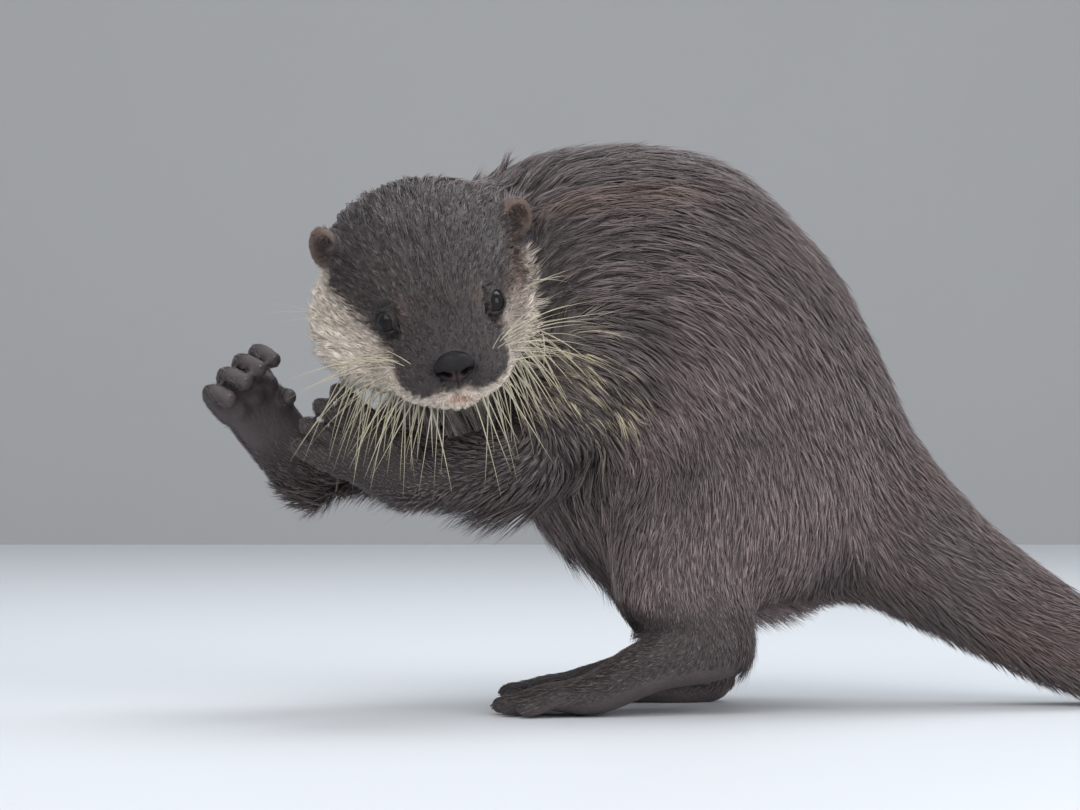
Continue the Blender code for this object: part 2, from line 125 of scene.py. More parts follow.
# where the limbs' skin is evened out, and how far round there
BENDS = (((62, -47, 34), 30.0), ((62, 28, 28), 28.0), ((-37, -69, 87), 17.0), ((-86, -5, 92), 16.0))
# hollows: the frame that the line is told in, the line, its sides, its depth and its width
FOLDS = (
    (BODY, ((26, 66, 124), (40, 64, 114), (54, 62, 100), (58, 60, 84)), SIDES, 5.0, 8.0),
    (BODY, ((14, 60, 96), (28, 58, 88), (42, 56, 84)), SIDES, 3.0, 7.0),
    (BODY, ((118, 34, 70), (112, 34, 54), (104, 34, 44)), SIDES, 2.5, 9.0),
    (HEAD, ((36, 44, 8), (24, 44, 4), (22, 45, -10), (22, 44, -22), (15, 41, -33), (2, 34, -38)),
     (LEFT,), 6.5, 4.5),
)
TOES = ((-13.5, 24), (-7, 31), (0, 34), (7, 32), (13.5, 26))  # place across the foot, and reach
EAR_TURN = {LEFT: 28, RIGHT: 56}  # how far each ear is turned outward, in degrees
EAR_RISE = {LEFT: -0.8, RIGHT: 1.6}  # and how much higher it sits than the solids' ears
PALM = 13.2  # half the palm's width
FINGERS = ((-1.0, 0.84), (-0.34, 1.0), (0.32, 0.98), (0.96, 0.82))  # place across the palm, and reach
# Across runs along the knuckles and curl into the grip. Stretch is how far the fingers reach on past the
# knuckles before they close.
Hand = namedtuple("Hand", "heel knuckles across curl stretch wrist")
HANDS = (
    Hand(Vector((-50, -66, 91)), Vector((-74, -64, 107)), Vector((0.65, 0, 0.75)),
         Vector((-0.2, 0.95, 0)), 15.0, Vector((-39, -68, 88))),
    Hand(Vector((-95, -12, 95)), Vector((-117, -24, 126)), Vector((0.8, 0.5, 0.3)),
         Vector((0.55, -0.8, 0.1)), 9.5, Vector((-88, -7, 86))),
)
# the almond of an open eye: how wide it is before and behind its middle, how tall above and below, and by
# how much it narrows between two places toward its front corner
EYE_WIDE, EYE_TALL, EYE_NARROWS, EYE_CORNER = (5.0, 4.5), (4.1, 3.6), 0.22, (2, 5)
MOUTH = ((-33.5, 0.4, -15), (-31, 6, -17.4), (-25, 13, -18.6), (-16, 19, -19), (-6, 24, -18.2))
FACE_MIDDLE, FACE_REACH = Vector((-14, 0, -8)), 31.0  # where the skin's faces are finest
NAPE = (-22, -5, 206.5)  # where wet spikes stand up

# The markings, in the head's frame: the height of the cream's upper edge along the head, how far out on the
# cheek the cream goes at each height, the warm band behind an eye, and the dark line there
EDGE_X = (-34, -30, -24, -14, -6, 1, 10, 18, 32, 45)
EDGE_Z = (-17, -15, -12, -9.5, -7, -4, -1.3, -0.3, 1, 3.5)
RIM_Z = (-38, -34, -30, -20, -8, 5, 12)
RIM_OUT = (24, 28, 32, 36.5, 38, 38, 37)
TEMPLE = ((28, -34.5, -2), (16, -31, -4), (8, -29, -5.5), (0, -26.5, -9.5), (-7, -25, -14))
BEHIND_EYE = ((2, 21, 3), (14, 28, 6), (30, 35, 7))
BUFF_LINE = ((4, -59, 140), (8, -62, 132), (15, -63, 128), (23, -61, 122))  # in the body's frame

# The coat over each region: how deep it is, how long its strands are and how wide, how far the locks stand
# apart, how many strands grow on a square centimetre, and how much the strands lean together
COATS = {
    "head": (1.1, 9.5, 0.38, 3.5, 132, 0.92),
    "ear": (0.25, 1.5, 0.2, 1.3, 170, 0.3),
    "neck": (2.8, 26.0, 0.54, 4.6, 70, 0.92),
    "chest": (2.9, 28.0, 0.56, 5.2, 54, 0.93),
    "abdomen": (2.5, 22.0, 0.46, 3.3, 56, 0.85),
    "rump": (2.0, 17.0, 0.44, 2.6, 54, 0.8),
    "thigh": (1.5, 13.0, 0.4, 2.2, 66, 0.76),
    "shank": (0.8, 7.0, 0.32, 1.7, 100, 0.6),
    "upper_arm": (2.5, 22.0, 0.52, 4.0, 58, 0.91),
    "forearm": (1.7, 14.0, 0.44, 2.6, 66, 0.84),
    "forepaw": (0.3, 4.5, 0.3, 1.6, 95, 0.5),
    "hind_foot": (0.3, 5.0, 0.3, 1.7, 82, 0.5),
    "tail": (1.4, 12.0, 0.42, 2.2, 50, 0.76),
}
SHORT = ("head", "ear", "shank", "forepaw", "hind_foot")  # where a strand needs only one bend
DEPTH, LENGTH, WIDTH, APART, DENSITY, LEAN = range(6)

# The ways in which the coat lies: chains of points that the hair follows. The first group is in the head's
# frame, and every chain in a group of pairs is also laid on the other side.
HEAD_PAIRS = (
    ((-30, 2, 2), (-12, 3, 9), (10, 5, 19), (34, 8, 25), (56, 9, 22), (74, 10, 14)),
    ((-28, 8, -2), (-10, 14, 6), (8, 22, 13), (30, 30, 16), (52, 34, 8), (74, 34, 0)),
    ((-26, 12, -8), (-12, 21, -6), (4, 30, -8), (24, 40, -9), (46, 44, -10), (70, 42, -12)),
    ((-26, 10, -18), (-10, 24, -20), (10, 36, -24), (32, 42, -28), (56, 40, -32)),
    ((-28, 3, -24), (-8, 8, -30), (16, 12, -36), (40, 14, -40)),
)
BODY_PAIRS = (
    ((-10, 8, 212), (30, 8, 222), (66, 10, 214), (104, 12, 184), (136, 10, 130), (166, 8, 82), (190, 8, 62)),
    ((-14, 34, 186), (14, 36, 198), (42, 38, 202), (66, 38, 196), (92, 36, 178), (114, 32, 146),
     (128, 26, 104)),
    ((0, 48, 174), (22, 52, 182), (44, 54, 184), (64, 54, 179), (84, 52, 164), (102, 48, 142), (113, 44, 112),
     (122, 36, 84), (140, 26, 60), (164, 18, 46)),
    ((4, 60, 156), (24, 60, 160), (46, 60, 161), (66, 60, 154), (82, 58, 138), (92, 56, 114), (97, 54, 88),
     (96, 48, 64), (90, 40, 50)),
    ((10, 64, 142), (30, 64, 141), (46, 64, 133), (58, 64, 118), (67, 64, 100), (70, 62, 80), (66, 60, 60)),
    ((20, 62, 118), (36, 62, 111), (47, 60, 98), (50, 58, 80), (46, 54, 62)),
    ((66, 60, 60), (68, 54, 44), (72, 48, 32)),
    ((90, 44, 50), (84, 42, 36), (80, 42, 28)),
    ((112, 40, 96), (116, 34, 66), (112, 22, 46)),
    ((-4, 14, 96), (14, 20, 76), (32, 26, 58), (52, 22, 46), (84, 12, 38), (118, 6, 42), (150, 4, 36)),
)
BODY_CHAINS = (
    ((-44, -30, 200), (-24, -18, 208), (-4, -4, 214)),
    ((-30, -60, 176), (-14, -56, 172), (2, -56, 170)),
    ((-26, -66, 158), (-10, -64, 150), (8, -64, 140), (26, -66, 124), (36, -66, 110)),
    ((-28, -66, 140), (-14, -68, 128), (2, -70, 116), (14, -66, 100), (20, -60, 88)),
    ((-78, -30, 170), (-70, -4, 172), (-48, 22, 168), (-14, 40, 166)),
    ((-60, -50, 140), (-40, -50, 124), (-16, -34, 108), (0, -14, 96)),
    ((160, 0, 78), (200, 2, 48), (250, 6, 28), (300, 15, 18), (345, 27, 10), (364, 31, 4)),
    ((160, -22, 52), (200, -18, 32), (250, -12, 18), (300, -2, 12), (345, 20, 6)),
    ((160, 22, 52), (200, 22, 32), (250, 24, 18), (300, 30, 12), (345, 34, 6)),
    ((150, 0, 32), (200, 2, 14), (250, 6, 2), (300, 15, 1), (345, 27, 1)),
    ((12, -72, 108), (-6, -74, 96), (-30, -70, 90), (-56, -68, 94), (-76, -64, 108), (-84, -64, 116)),
    ((10, -52, 96), (-10, -52, 88), (-36, -56, 84), (-58, -58, 90)),
    ((-14, 54, 146), (-24, 46, 124), (-40, 32, 104), (-60, 16, 100)),
    ((-44, 26, 106), (-87, -5, 98), (-100, -14, 104), (-118, -24, 128)),
    ((60, -54, 50), (70, -44, 28), (44, -46, 18), (18, -46, 14), (-14, -46, 5)),
    ((60, 44, 50), (66, 30, 20), (44, 22, 16), (20, 21, 12), (-12, 21, 5)),
)


# ---------------------------------------------------------------- meshes as arrays
def array_of(collection, attribute, width, kind=np.float32):
    """Reads one property of every element of a mesh."""
    values = np.empty(len(collection) * width, kind)
    collection.foreach_get(attribute, values)
    return values.reshape(-1, width) if width > 1 else values


def set_points(mesh, points):
    """Moves a mesh's points."""
    mesh.vertices.foreach_set("co", points.astype(np.float32).ravel())
    mesh.update()


def object_of(name, points, triangles):
    """An object of these points and triangles, shaded smooth."""
    mesh = bpy.data.meshes.new(name)
    mesh.vertices.add(len(points))
    mesh.vertices.foreach_set("co", points.astype(np.float32).ravel())
    mesh.loops.add(triangles.size)
    mesh.loops.foreach_set("vertex_index", triangles.astype(np.int32).ravel())
    mesh.polygons.add(len(triangles))
    mesh.polygons.foreach_set("loop_start", np.arange(0, triangles.size, 3, dtype=np.int32))
    mesh.update(calc_edges=True)
    mesh.shade_smooth()
    made = bpy.data.objects.new(name, mesh)
    bpy.context.scene.collection.objects.link(made)
    return made


def points_of(mesh):
    """A mesh's points."""
    return array_of(mesh.vertices, "co", 3).astype(float)


def normals_of(mesh):
    """Which way a mesh's points face."""
    return array_of(mesh.vertices, "normal", 3)


def edges_of(mesh):
    """The pairs of points that a mesh's edges join."""
    return array_of(mesh.edges, "vertices", 2, np.int32)


def write_attribute(mesh, name, values):
    """Gives every point of a mesh a number."""
    mesh.attributes.new(name, "FLOAT", "POINT").data.foreach_set("value", values.astype(np.float32))


def length_of(vectors):
    """The length of each row."""
    return np.linalg.norm(vectors, axis=-1, keepdims=True)


def unit(vectors):
    """Each row at length 1."""
    return vectors / np.maximum(length_of(vectors), 1e-12)


def step(low, high, values):
    """0 below low and 1 above high, smooth between. Low may be the greater of the two."""
    t = np.clip((values - low) / (high - low), 0, 1)
    return t * t * (3 - 2 * t)


def tree_of(points):
    """A tree that finds the nearest of these points."""
    tree = KDTree(len(points))
    for index, point in enumerate(points):
        tree.insert(point, index)
    tree.balance()
    return tree


def nearest(tree, points):
    """For each point, which of the tree's points lies nearest."""
    return np.fromiter((tree.find(point)[1] for point in points), np.int64, len(points))


def in_frame(matrix, points):
    """Points in metres, told in millimetres of one of the tables' frames."""
    back = np.array(matrix.inverted())
    return points @ back[:3, :3].T + back[:3, 3]


def from_frame(matrix, points):
    """Points of one of the tables' frames, in metres."""
    there = np.array(matrix)
    return points @ there[:3, :3].T + there[:3, 3]


def spread(values, edges, times):
    """Evens out numbers or vectors that belong to a mesh's points, along its edges."""
    count = len(values)
    ends = edges.ravel()
    others = edges[:, ::-1].ravel()
    order = np.argsort(ends, kind="stable")
    others = others[order]
    starts = np.searchsorted(ends[order], np.arange(count))
    share = np.maximum(np.bincount(ends, minlength=count), 1).reshape(-1, *([1] * (values.ndim - 1)))
    for _ in range(times):
        values = 0.4 * values + 0.6 * np.add.reduceat(values[others], starts, axis=0) / share
    return values


def dome(points, centre, radii):
    """1 at the centre, falling off smoothly. A radius of math.inf leaves that way out of it."""
    return np.exp(-(((points - centre) / radii) ** 2).sum(axis=1))


def within(points, centre, near, far):
    """1 up to so near the centre and 0 from so far."""
    return step(far, near, length_of(points - np.array(centre))[:, 0])


def distance_to_line(points, line):
    """How far each point lies from a line of points, and how far along the line that is, from 0 to 1."""
    line = np.array(line, float)
    best = np.full(len(points), math.inf)
    along = np.zeros(len(points))
    for i, (a, b) in enumerate(zip(line, line[1:])):
        way = b - a
        t = np.clip((points - a) @ way / (way @ way), 0, 1)
        far = np.linalg.norm(points - a - t[:, None] * way, axis=1)
        along = np.where(far < best, (i + t) / (len(line) - 1), along)
        best = np.minimum(best, far)
    return best, along


def spike(rings, sides):
    """The triangles of a closed spike of so many rings, with the tip as its last point."""
    triangles = []
    for ring in range(rings - 1):
        for i in range(sides):
            a, b = ring * sides + i, ring * sides + (i + 1) % sides
            triangles += [(a, b, a + sides), (b, b + sides, a + sides)]
    last = (rings - 1) * sides
    triangles += [(last + i, last + (i + 1) % sides, rings * sides) for i in range(sides)]
    return np.array(triangles)


def repeated(triangles, count, points_each):
    """The same triangles for so many like shapes, whose points follow one another."""
    return (triangles[None] + (np.arange(count) * points_each)[:, None, None]).reshape(-1, 3)


# ---------------------------------------------------------------- hand work
def alone(made):
    """Selects one object and nothing else."""
    bpy.ops.object.select_all(action="DESELECT")
    made.select_set(True)
    bpy.context.view_layer.objects.active = made


def applied(made):
    """Applies every modifier of an object."""
    alone(made)
    for modifier in list(made.modifiers):
        bpy.ops.object.modifier_apply(modifier=modifier.name)
    return made


def joined(name, shapes):
    """Joins objects into the first of them."""
    alone(shapes[0])
    for shape in shapes:
        shape.select_set(True)
    if len(shapes) > 1:
        bpy.ops.object.join()
    shapes[0].name = name
    return shapes[0]


def facing_out(made):
    """Turns every face of a closed mesh outward."""
    alone(made)
    bpy.ops.object.mode_set(mode="EDIT")
    bpy.ops.mesh.select_all(action="SELECT")
    bpy.ops.mesh.normals_make_consistent(inside=False)
    bpy.ops.object.mode_set(mode="OBJECT")
    return made


def remeshed(made, voxel):
    """Turns overlapping shapes into one closed skin."""
    remesh = made.modifiers.new("Remesh", "REMESH")
    remesh.mode = "VOXEL"
    remesh.voxel_size = voxel * MM
    return applied(made)


# ---------------------------------------------------------------- forms
def rows_through(stations, spans):
    """Rows between the stations, each number running on a Catmull-Rom curve."""
    table = np.array(stations, float)
    ends = np.vstack([2 * table[0] - table[1], table, 2 * table[-1] - table[-2]])
    rows = []
    for a, b, c, d in zip(ends, ends[1:], ends[2:], ends[3:]):
        for t in np.arange(spans) / spans:
            bend = (2 * a - 5 * b + 4 * c - d) * t**2 + (3 * b - a - 3 * c + d) * t**3
            rows.append(0.5 * (2 * b + (c - a) * t + bend))
    rows.append(table[-1])
    return np.array(rows)


def loft(name, stations, frame=BODY, sides=20, spans=5, squareness=2.0):
    """A closed tube through stations (x, y, z, half width, half height, turn of its left side in degrees)."""
    rows = rows_through([s if len(s) == 6 else (*s, 0) for s in stations], spans)
    along = unit(np.gradient(rows[:, :3], axis=0))
    turn = np.radians(rows[:, 5])
    left = np.stack([np.sin(turn), -np.cos(turn), 0 * turn], axis=1)
    left = unit(left - along * (left * along).sum(1, keepdims=True))
    up = np.cross(along, left)
    angle = np.arange(sides) * 2 * math.pi / sides
    across = np.sign(np.cos(angle)) * np.abs(np.cos(angle)) ** (2 / squareness)
    above = np.sign(np.sin(angle)) * np.abs(np.sin(angle)) ** (2 / squareness)
    rings = (
        rows[:, None, :3]
        + left[:, None] * (rows[:, 3, None] * across)[..., None]
        + up[:, None] * (rows[:, 4, None] * above)[..., None]
    )
    points = np.vstack([rings.reshape(-1, 3), rows[0, :3], rows[-1, :3]])
    triangles = []
    last = len(rows) - 1
    for i in range(sides):
        j = (i + 1) % sides
        for r in range(last):
            a, b, c, d = r * sides + i, r * sides + j, (r + 1) * sides + j, (r + 1) * sides + i
            triangles += [(a, d, c), (a, c, b)]
        triangles.append((i, j, len(rings) * sides))
        triangles.append((last * sides + j, last * sides + i, len(rings) * sides + 1))
    return facing_out(object_of(name, from_frame(frame, points), np.array(triangles)))


def ball(name, centre, radii, frame=BODY, turn=(0, 0, 0), segments=32, rings=20):
    """An ellipsoid of these radii, turned by XYZ degrees about its middle, with its place in its mesh."""
    bpy.ops.object.select_all(action="DESELECT")
    bpy.ops.mesh.primitive_uv_sphere_add(segments=segments, ring_count=rings, radius=1)
    made = bpy.context.object
    made.name = name
    made.data.transform(
        frame
        @ Matrix.Translation(Vector(centre))
        @ Matrix.Rotation(math.radians(turn[2]), 4, "Z")
        @ Matrix.Rotation(math.radians(turn[1]), 4, "Y")
        @ Matrix.Rotation(math.radians(turn[0]), 4, "X")
        @ Matrix.Diagonal((*radii, 1))
    )
    made.data.shade_smooth()
    return made


def digit(points, radius, tip):
    """A finger or toe: thicker at its joints, with a round pad under its tip."""
    last = len(points) - 1
    sized = []
    for i, point in enumerate(points):
        thick = radius + (tip - radius) * i / last
        sized.append((*point, thick, thick))
    end = Vector(points[-1]) + (Vector(points[-1]) - Vector(points[-2])).normalized() * tip * 0.8
    return loft("digit", [*sized, (*end, tip * 0.5, tip * 0.5)], sides=14, spans=5)


def hand_axes(hand):
    """The ways along a hand, across its knuckles and into its grip, square to each other."""
    along = (hand.knuckles - hand.heel).normalized()
    across = (hand.across - along * hand.across.dot(along)).normalized()
    curl = hand.curl - along * hand.curl.dot(along) - across * hand.curl.dot(across)
    return along, across, curl.normalized()


def finger_ways(hand):
    """Each finger's joints."""
    along, across, curl = hand_axes(hand)
    ways = []
    for place, reach in FINGERS:
        base = hand.knuckles + across * (place * PALM * 0.86)
        out = across * (place * 1.2)
        far = hand.stretch * reach
        ways.append([
            base - along * 7 - curl * 0.5,
            base + along * (far * 0.45) - curl * 0.6 + out,
            base + along * far + curl * (4.5 * reach) + out * 1.5,
            base + along * (far - 0.5) + curl * (11 * reach) + out * 1.5,
            base + along * (far - 4) + curl * (15.5 * reach) + out,
        ])
    return ways


def hind_foot(knee, heel, ball_of_foot, rise):
    """An ankle and a long foot: sole and five toes that point to -X. Rise is how high its middle stands."""
    x, y, z = ball_of_foot
    back, aside, high = heel
    ankle = loft(
        "ankle",
        [
            (*knee.lerp(heel, 0.42), 11, 11),
            (*knee.lerp(heel, 0.6), 12, 12),
            (*(knee.lerp(heel, 0.85) + Vector((-1, 0, 3))), 11.5, 11.5),
            (back - 3, aside, high + 1, 10, 10),
            (back - 3, aside, high - 3, 6, 6),
        ],
        sides=28,
    )
    wide = 17.6
    sole = loft(
        "sole",
        [
            (back + 6, aside, high + 1, 6, 6),
            (back, aside, high + 1, 10.6, 10.6),
            (back - 14, aside + (y - aside) * 0.2, high * 0.85 + rise * 0.4, 13, 12),
            (back - 32, aside + (y - aside) * 0.55, high * 0.55 + z * 0.45 + rise * 0.3, 15, 10.5),
            (x + 4, y, z, wide, 8),
            (x - 10, y, z - 1.8, wide, 5.4),
            (x - 19, y, z - 3.2, wide * 0.94, 2.8),
        ],
        sides=32,
        squareness=2.6,
    )
    toes = []
    for across, reach in TOES:
        out = across * 0.28
        way = [
            (x + 2, y + across * 0.85, z - 0.5),
            (x - reach * 0.45, y + across + out * 0.4, z - 0.6),
            (x - reach * 0.78, y + across + out * 0.8, 4.6),
            (x - reach, y + across + out, 3.7),
        ]
        toes.append(digit(way, 4.1, 3.3))
    return [ankle, sole, *toes]


def forepaw(hand):
    """A gripping forepaw: palm and pads, four curled fingers and a thumb."""
    heel, knuckles, wrist = hand.heel, hand.knuckles, hand.wrist
    along, across, curl = hand_axes(hand)
    turn = math.degrees(math.atan2(across.x, -across.y))
    palm = loft(
        "palm",
        [
            (*(wrist - along * 2), PALM * 0.6, 8.0, turn),
            (*wrist.lerp(heel, 0.5), PALM * 0.74, 9.0, turn),
            (*heel, PALM * 0.86, 9.6, turn),
            (*heel.lerp(knuckles, 0.35), PALM * 0.97, 8.8, turn),
            (*heel.lerp(knuckles, 0.75), PALM * 1.02, 7, turn),
            (*(knuckles - along * 1), PALM * 0.98, 5, turn),
            (*(knuckles + along * 2), PALM * 0.84, 3, turn),
        ],
        sides=28,
        squareness=2.5,
    )
    ways = finger_ways(hand)
    shapes = [palm, *(digit(way, 3.5, 3.1) for way in ways)]
    for way in ways:
        shapes.append(ball("finger_pad", way[-1] + curl * 0.6, [3.5] * 3))
    for place, size in ((-0.62, 4.4), (0.0, 4.8), (0.62, 4.4)):
        middle = knuckles + across * (place * PALM) - along * 4.5 + curl * 4.4
        shapes.append(ball("palm_pad", middle, [size] * 3))
    shapes.append(ball("heel_pad", heel.lerp(knuckles, 0.2) + curl * 5.5, [6.5] * 3))
    root = heel.lerp(knuckles, 0.45) + across * PALM * 0.6
    thumb = [
        root - across * 4,
        root + across * 1.5 + along * 5,
        root + across * 2.5 + along * 9 + curl * 7,
        root + across * 0.5 + along * 10 + curl * 13,
    ]
    return [*shapes, digit(thumb, 3.8, 3.2)]


def ear(side):
    """A small round ear: a cup with a rolled rim, open forward and outward."""
    rise = EAR_RISE[side]
    turn = (0, 8, -EAR_TURN[side] * side)
    shell = ball("ear", (46, 37.4 * side, 9.5 + rise), (3.6, 7.4, 8.8), HEAD, turn)
    hollow = ball("hollow", (42.0, 38.4 * side, 9.6 + rise), (6.2, 5.6, 6.8), HEAD, turn)
    cut = shell.modifiers.new("Cup", "BOOLEAN")
    cut.operation = "DIFFERENCE"
    cut.object = hollow
    applied(shell)
    bpy.data.objects.remove(hollow)
    root = ball("ear_root", (49.5, 33.5 * side, 5 + rise), (7, 5.5, 8), HEAD, turn)
    return [shell, root]


# ---------------------------------------------------------------- the skin
FLESH_GRAIN = 1.8  # the size of the faces that the solids are joined with
CUT = 0.35  # how much each solid swells, to close the cuts between them


def region_of(node):
    """The coat's region that a solid belongs to."""
    return next(region for region in COATS if node.startswith(region))


def among(regions, *names):
    """1 at the points of these regions, and 0 elsewhere."""
    return np.isin(regions, [list(COATS).index(name) for name in names]).astype(float)


def flesh_points():
    """Points spread over the solids of flesh, and each one's region as a number."""
    points, regions = [], []
    names = list(COATS)
    for node in FLESH:
        found = array_of(frame["nodes"][node].data.vertices, "co", 3)
        points.append(found)
        regions += [names.index(region_of(node))] * len(found)
    return np.vstack(points), np.array(regions)


def flesh_copy():
    """The solids of flesh as one loose mesh, swollen a little so that the cuts between them close."""
    whole = bmesh.new()
    for node in FLESH:
        if node in REBUILT:
            continue
        part = bmesh.new()
        part.from_mesh(frame["nodes"][node].data)
        bmesh.ops.remove_doubles(part, verts=part.verts, dist=1e-6)
        part.normal_update()
        copies = {v: whole.verts.new(v.co + v.normal * CUT * MM) for v in part.verts}
        for face in part.faces:
            whole.faces.new([copies[v] for v in face.verts])
        part.free()
    mesh = bpy.data.meshes.new("flesh")
    whole.to_mesh(mesh)
    whole.free()
    made = bpy.data.objects.new("flesh", mesh)
    bpy.context.scene.collection.objects.link(made)
    return made


def base_skin(flesh_tree, flesh_region):
    """The big forms: the solids, evened out and drawn in by the coat's depth."""
    base = remeshed(flesh_copy(), FLESH_GRAIN)
    mesh = base.data
    points = points_of(mesh)
    edges = edges_of(mesh)
    head = in_frame(HEAD, points)
    firm = step(70, 45, head[:, 0]) * step(62, 52, length_of(head[:, 1:])[:, 0])
    soft = spread(points, edges, 26)
    fine = spread(points, edges, 5)
    points = fine * firm[:, None] + soft * (1 - firm[:, None])
    set_points(mesh, points)
    depths = np.array([row[DEPTH] for row in COATS.values()])
    depth = spread(depths[flesh_region[nearest(flesh_tree, points)]], edges, 30)
    lost = 0.5 * (1 - firm)  # by which evening out has already drawn it in
    set_points(mesh, points - normals_of(mesh) * ((depth - lost + folds(points)) * MM)[:, None])
    return base


def folds(points):
    """How deep the hollows are: behind each elbow, before and behind each haunch, and beside the cheek."""
    deep = np.zeros(len(points))
    for frame_of, chain, sides, depth, wide in FOLDS:
        place = in_frame(frame_of, points)
        for side in sides:
            far, along = distance_to_line(place, np.array(chain) * (1, side, 1))
            ends = np.sin(math.pi * np.clip(along, 0.08, 0.92))
            deep = np.maximum(deep, depth * np.exp(-((far / wide) ** 2)) * ends)
    return deep


def muzzle():
    """The full whisker pads, the lips and the chin, drawn in by the short coat's depth."""
    shapes = [ball("chin", (-17, 0, -22.5), (12, 11.2, 5.8), HEAD)]
    for side in SIDES:
        middle = (-19.5, 10.8 * side, -12.5)
        shapes.append(ball("whisker_pad", middle, (13, 10.6, 9.6), HEAD, (0, 0, 12 * side)))
    return shapes


def face_subdivided(mesh):
    """Makes the skin's faces four times finer round the eyes, the nose and the mouth."""
    bm = bmesh.new()
    bm.from_mesh(mesh)
    middle = HEAD @ FACE_MIDDLE
    chosen = [e for e in bm.edges if all((v.co - middle).length < FACE_REACH * MM for v in e.verts)]
    bmesh.ops.subdivide_edges(bm, edges=chosen, cuts=1, use_grid_fill=True)
    bmesh.ops.triangulate(bm, faces=[f for f in bm.faces if len(f.verts) > 4])
    bm.to_mesh(mesh)
    bm.free()


def eye_axes(side):
    """An eye's middle, the way it looks, and the ways to its front and upper corners, in the head's frame."""
    turned = np.array((1, side, 1))
    out = unit(np.array(EYE_LOOKS) * turned)
    front = np.array((-1.0, 0, -0.12))
    front = unit(front - out * (front @ out))
    up = np.cross(front, out) * side
    return np.array(EYE_SEAT) * turned, out, front, up * (1 if up[2] > 0 else -1)


def lid_height(above, forward):
    """How tall the eye's opening is above or below its middle, so far forward."""
    return np.where(above > 0, *EYE_TALL) * (1 - EYE_NARROWS * step(*EYE_CORNER, forward))


def eye_opening(head, side):
    """How far points lie out along the gaze, from it, and from the lids' edge, which is 1, and how high."""
    centre, out, front, up = eye_axes(side)
    away = head - centre
    a, b, h = away @ front, away @ up, away @ out
    return h, np.hypot(a, b), np.hypot(a / np.where(a > 0, *EYE_WIDE), b / lid_height(b, a)), b


def lidded(head, side, radius):
    """Wraps the skin round an eyeball: thin lids over it, and an almond opening between them."""
    h, across, round_it, above = eye_opening(head, side)
    lid = np.sqrt(np.maximum((radius + 0.7) ** 2 - across**2, 0.2))
    inside = np.sqrt(np.maximum((radius - 1.2) ** 2 - across**2, 0.2))
    near = (h > -4) & (h < 12) & (across < 15)
    cover = step(2.2, 1.05, round_it)
    crease = 0.55 * np.exp(-(((round_it - 1.62) / 0.2) ** 2)) * step(-3, 1, above)
    target = np.where(round_it < 1, inside, np.maximum(lid, h * 0.3)) - crease
    share = np.where(round_it < 1, 1, cover) * near
    moved = share * (target - h) - crease * near * (round_it >= 1) * 0.4
    return head + eye_axes(side)[1] * moved[:, None]


def whisker_spots(start, apart):
    """The whiskers' roots on the right pad, four rows of six, from a place and by steps along X and Y."""
    for row in range(4):
        for spot in range(6):
            yield spot, (start[0] + spot * apart[0] + row, start[1] + spot * apart[1], -9.5 - row * 2.4)


def sculpted(head, normals, radius):
    """The face's folds, in the head's frame: lids, brows, cheeks, lips and the whiskers' rows."""
    x, y, z = head.T
    moved = np.zeros(len(head))
    for side in SIDES:
        far, along = distance_to_line(head, np.array(MOUTH) * (1, side, 1))
        moved -= 1.5 * np.exp(-((far / 0.75) ** 2)) * step(1.0, 0.8, along)
        lip = np.exp(-(((far - 1.9) / 1.2) ** 2)) * step(1.0, 0.7, along)
        moved += 0.45 * lip * (z < -15)
        moved += 0.7 * dome(head, (-1, 16 * side, 9), (8, 4, 4))  # the brow
        moved -= 0.7 * dome(head, (-6, 22 * side, -6), (7, 6, 2.2))  # the fold under the eye
        for _, (there, beside, high) in whisker_spots((-25, 9.5), (3.4, 2.2)):
            moved += 0.25 * dome(head, (there, beside * side, high), (1.1, 1.1, 1.1))
    philtrum = np.exp(-((y / 0.8) ** 2)) * step(-8, -11, z) * step(-17, -14, z) * (x < -26)
    moved -= 1.2 * philtrum
    moved -= 0.6 * dome(head, (-16, 0, 0), (9, 7, math.inf)) * (z > -4)  # the dip behind the nose
    head = head + normals * (moved * step(20, -5, x))[:, None]
    for side in SIDES:
        head = lidded(head, side, radius)
    return head


def nose_away(head):
    """How far each point lies from the nose's middle, where 1 is the nose's own surface."""
    return np.linalg.norm((head - NOSE_SEAT) / np.array(NOSE_SIZE) / (1.4, 1.06, 1.06), axis=1)


def nose_bed(head):
    """Makes room for the nose: the skin steps back under it."""
    return head + np.array((0.7, 0, 0)) * step(0.95, 0.8, nose_away(head))[:, None]


def cream_of(head, on_head, arms):
    """How cream the coat is: the cheeks, the lips and the chin, and half as much the throat."""
    x, y, z = head.T
    ragged = np.sin(x * 1.9 + y * 0.7) + 0.6 * np.sin(x * 0.83 - z * 1.3)
    soft = 1.7 * step(6, -6, x)
    below = step(-1.0 - soft, 2.0 + soft, np.interp(x, EDGE_X, EDGE_Z) - z + ragged)
    left = step(1.6, 0, -y - np.interp(z, RIM_Z, RIM_OUT)) * step(52, 44, x) * step(0.35, 0.8, on_head)
    right = step(62, 50, x) * step(50, 44, y) * step(-46, -36, z) * step(0.0, 0.1, on_head + step(56, 46, x))
    cheeks = below * np.where(y < 0, left, right) * (1 - arms)
    lip = step(-15.2, -17.5, z) * step(-14, -24, x) * face_near(head)
    throat = step(-30, -38, z) * step(46, 26, x) * step(30, 18, np.abs(y)) * step(10, 20, x)
    throat = throat * within(head, (0, 0, 0), 56, 72) * (1 - arms)
    return np.maximum(np.maximum(cheeks, lip), throat * 0.5)


def face_near(head):
    """1 on the face and 0 off it, on the paws too."""
    return step(1.2, 1.05, (((head - (12, 0, -4)) / (54, 41.5, 42)) ** 2).sum(axis=1))


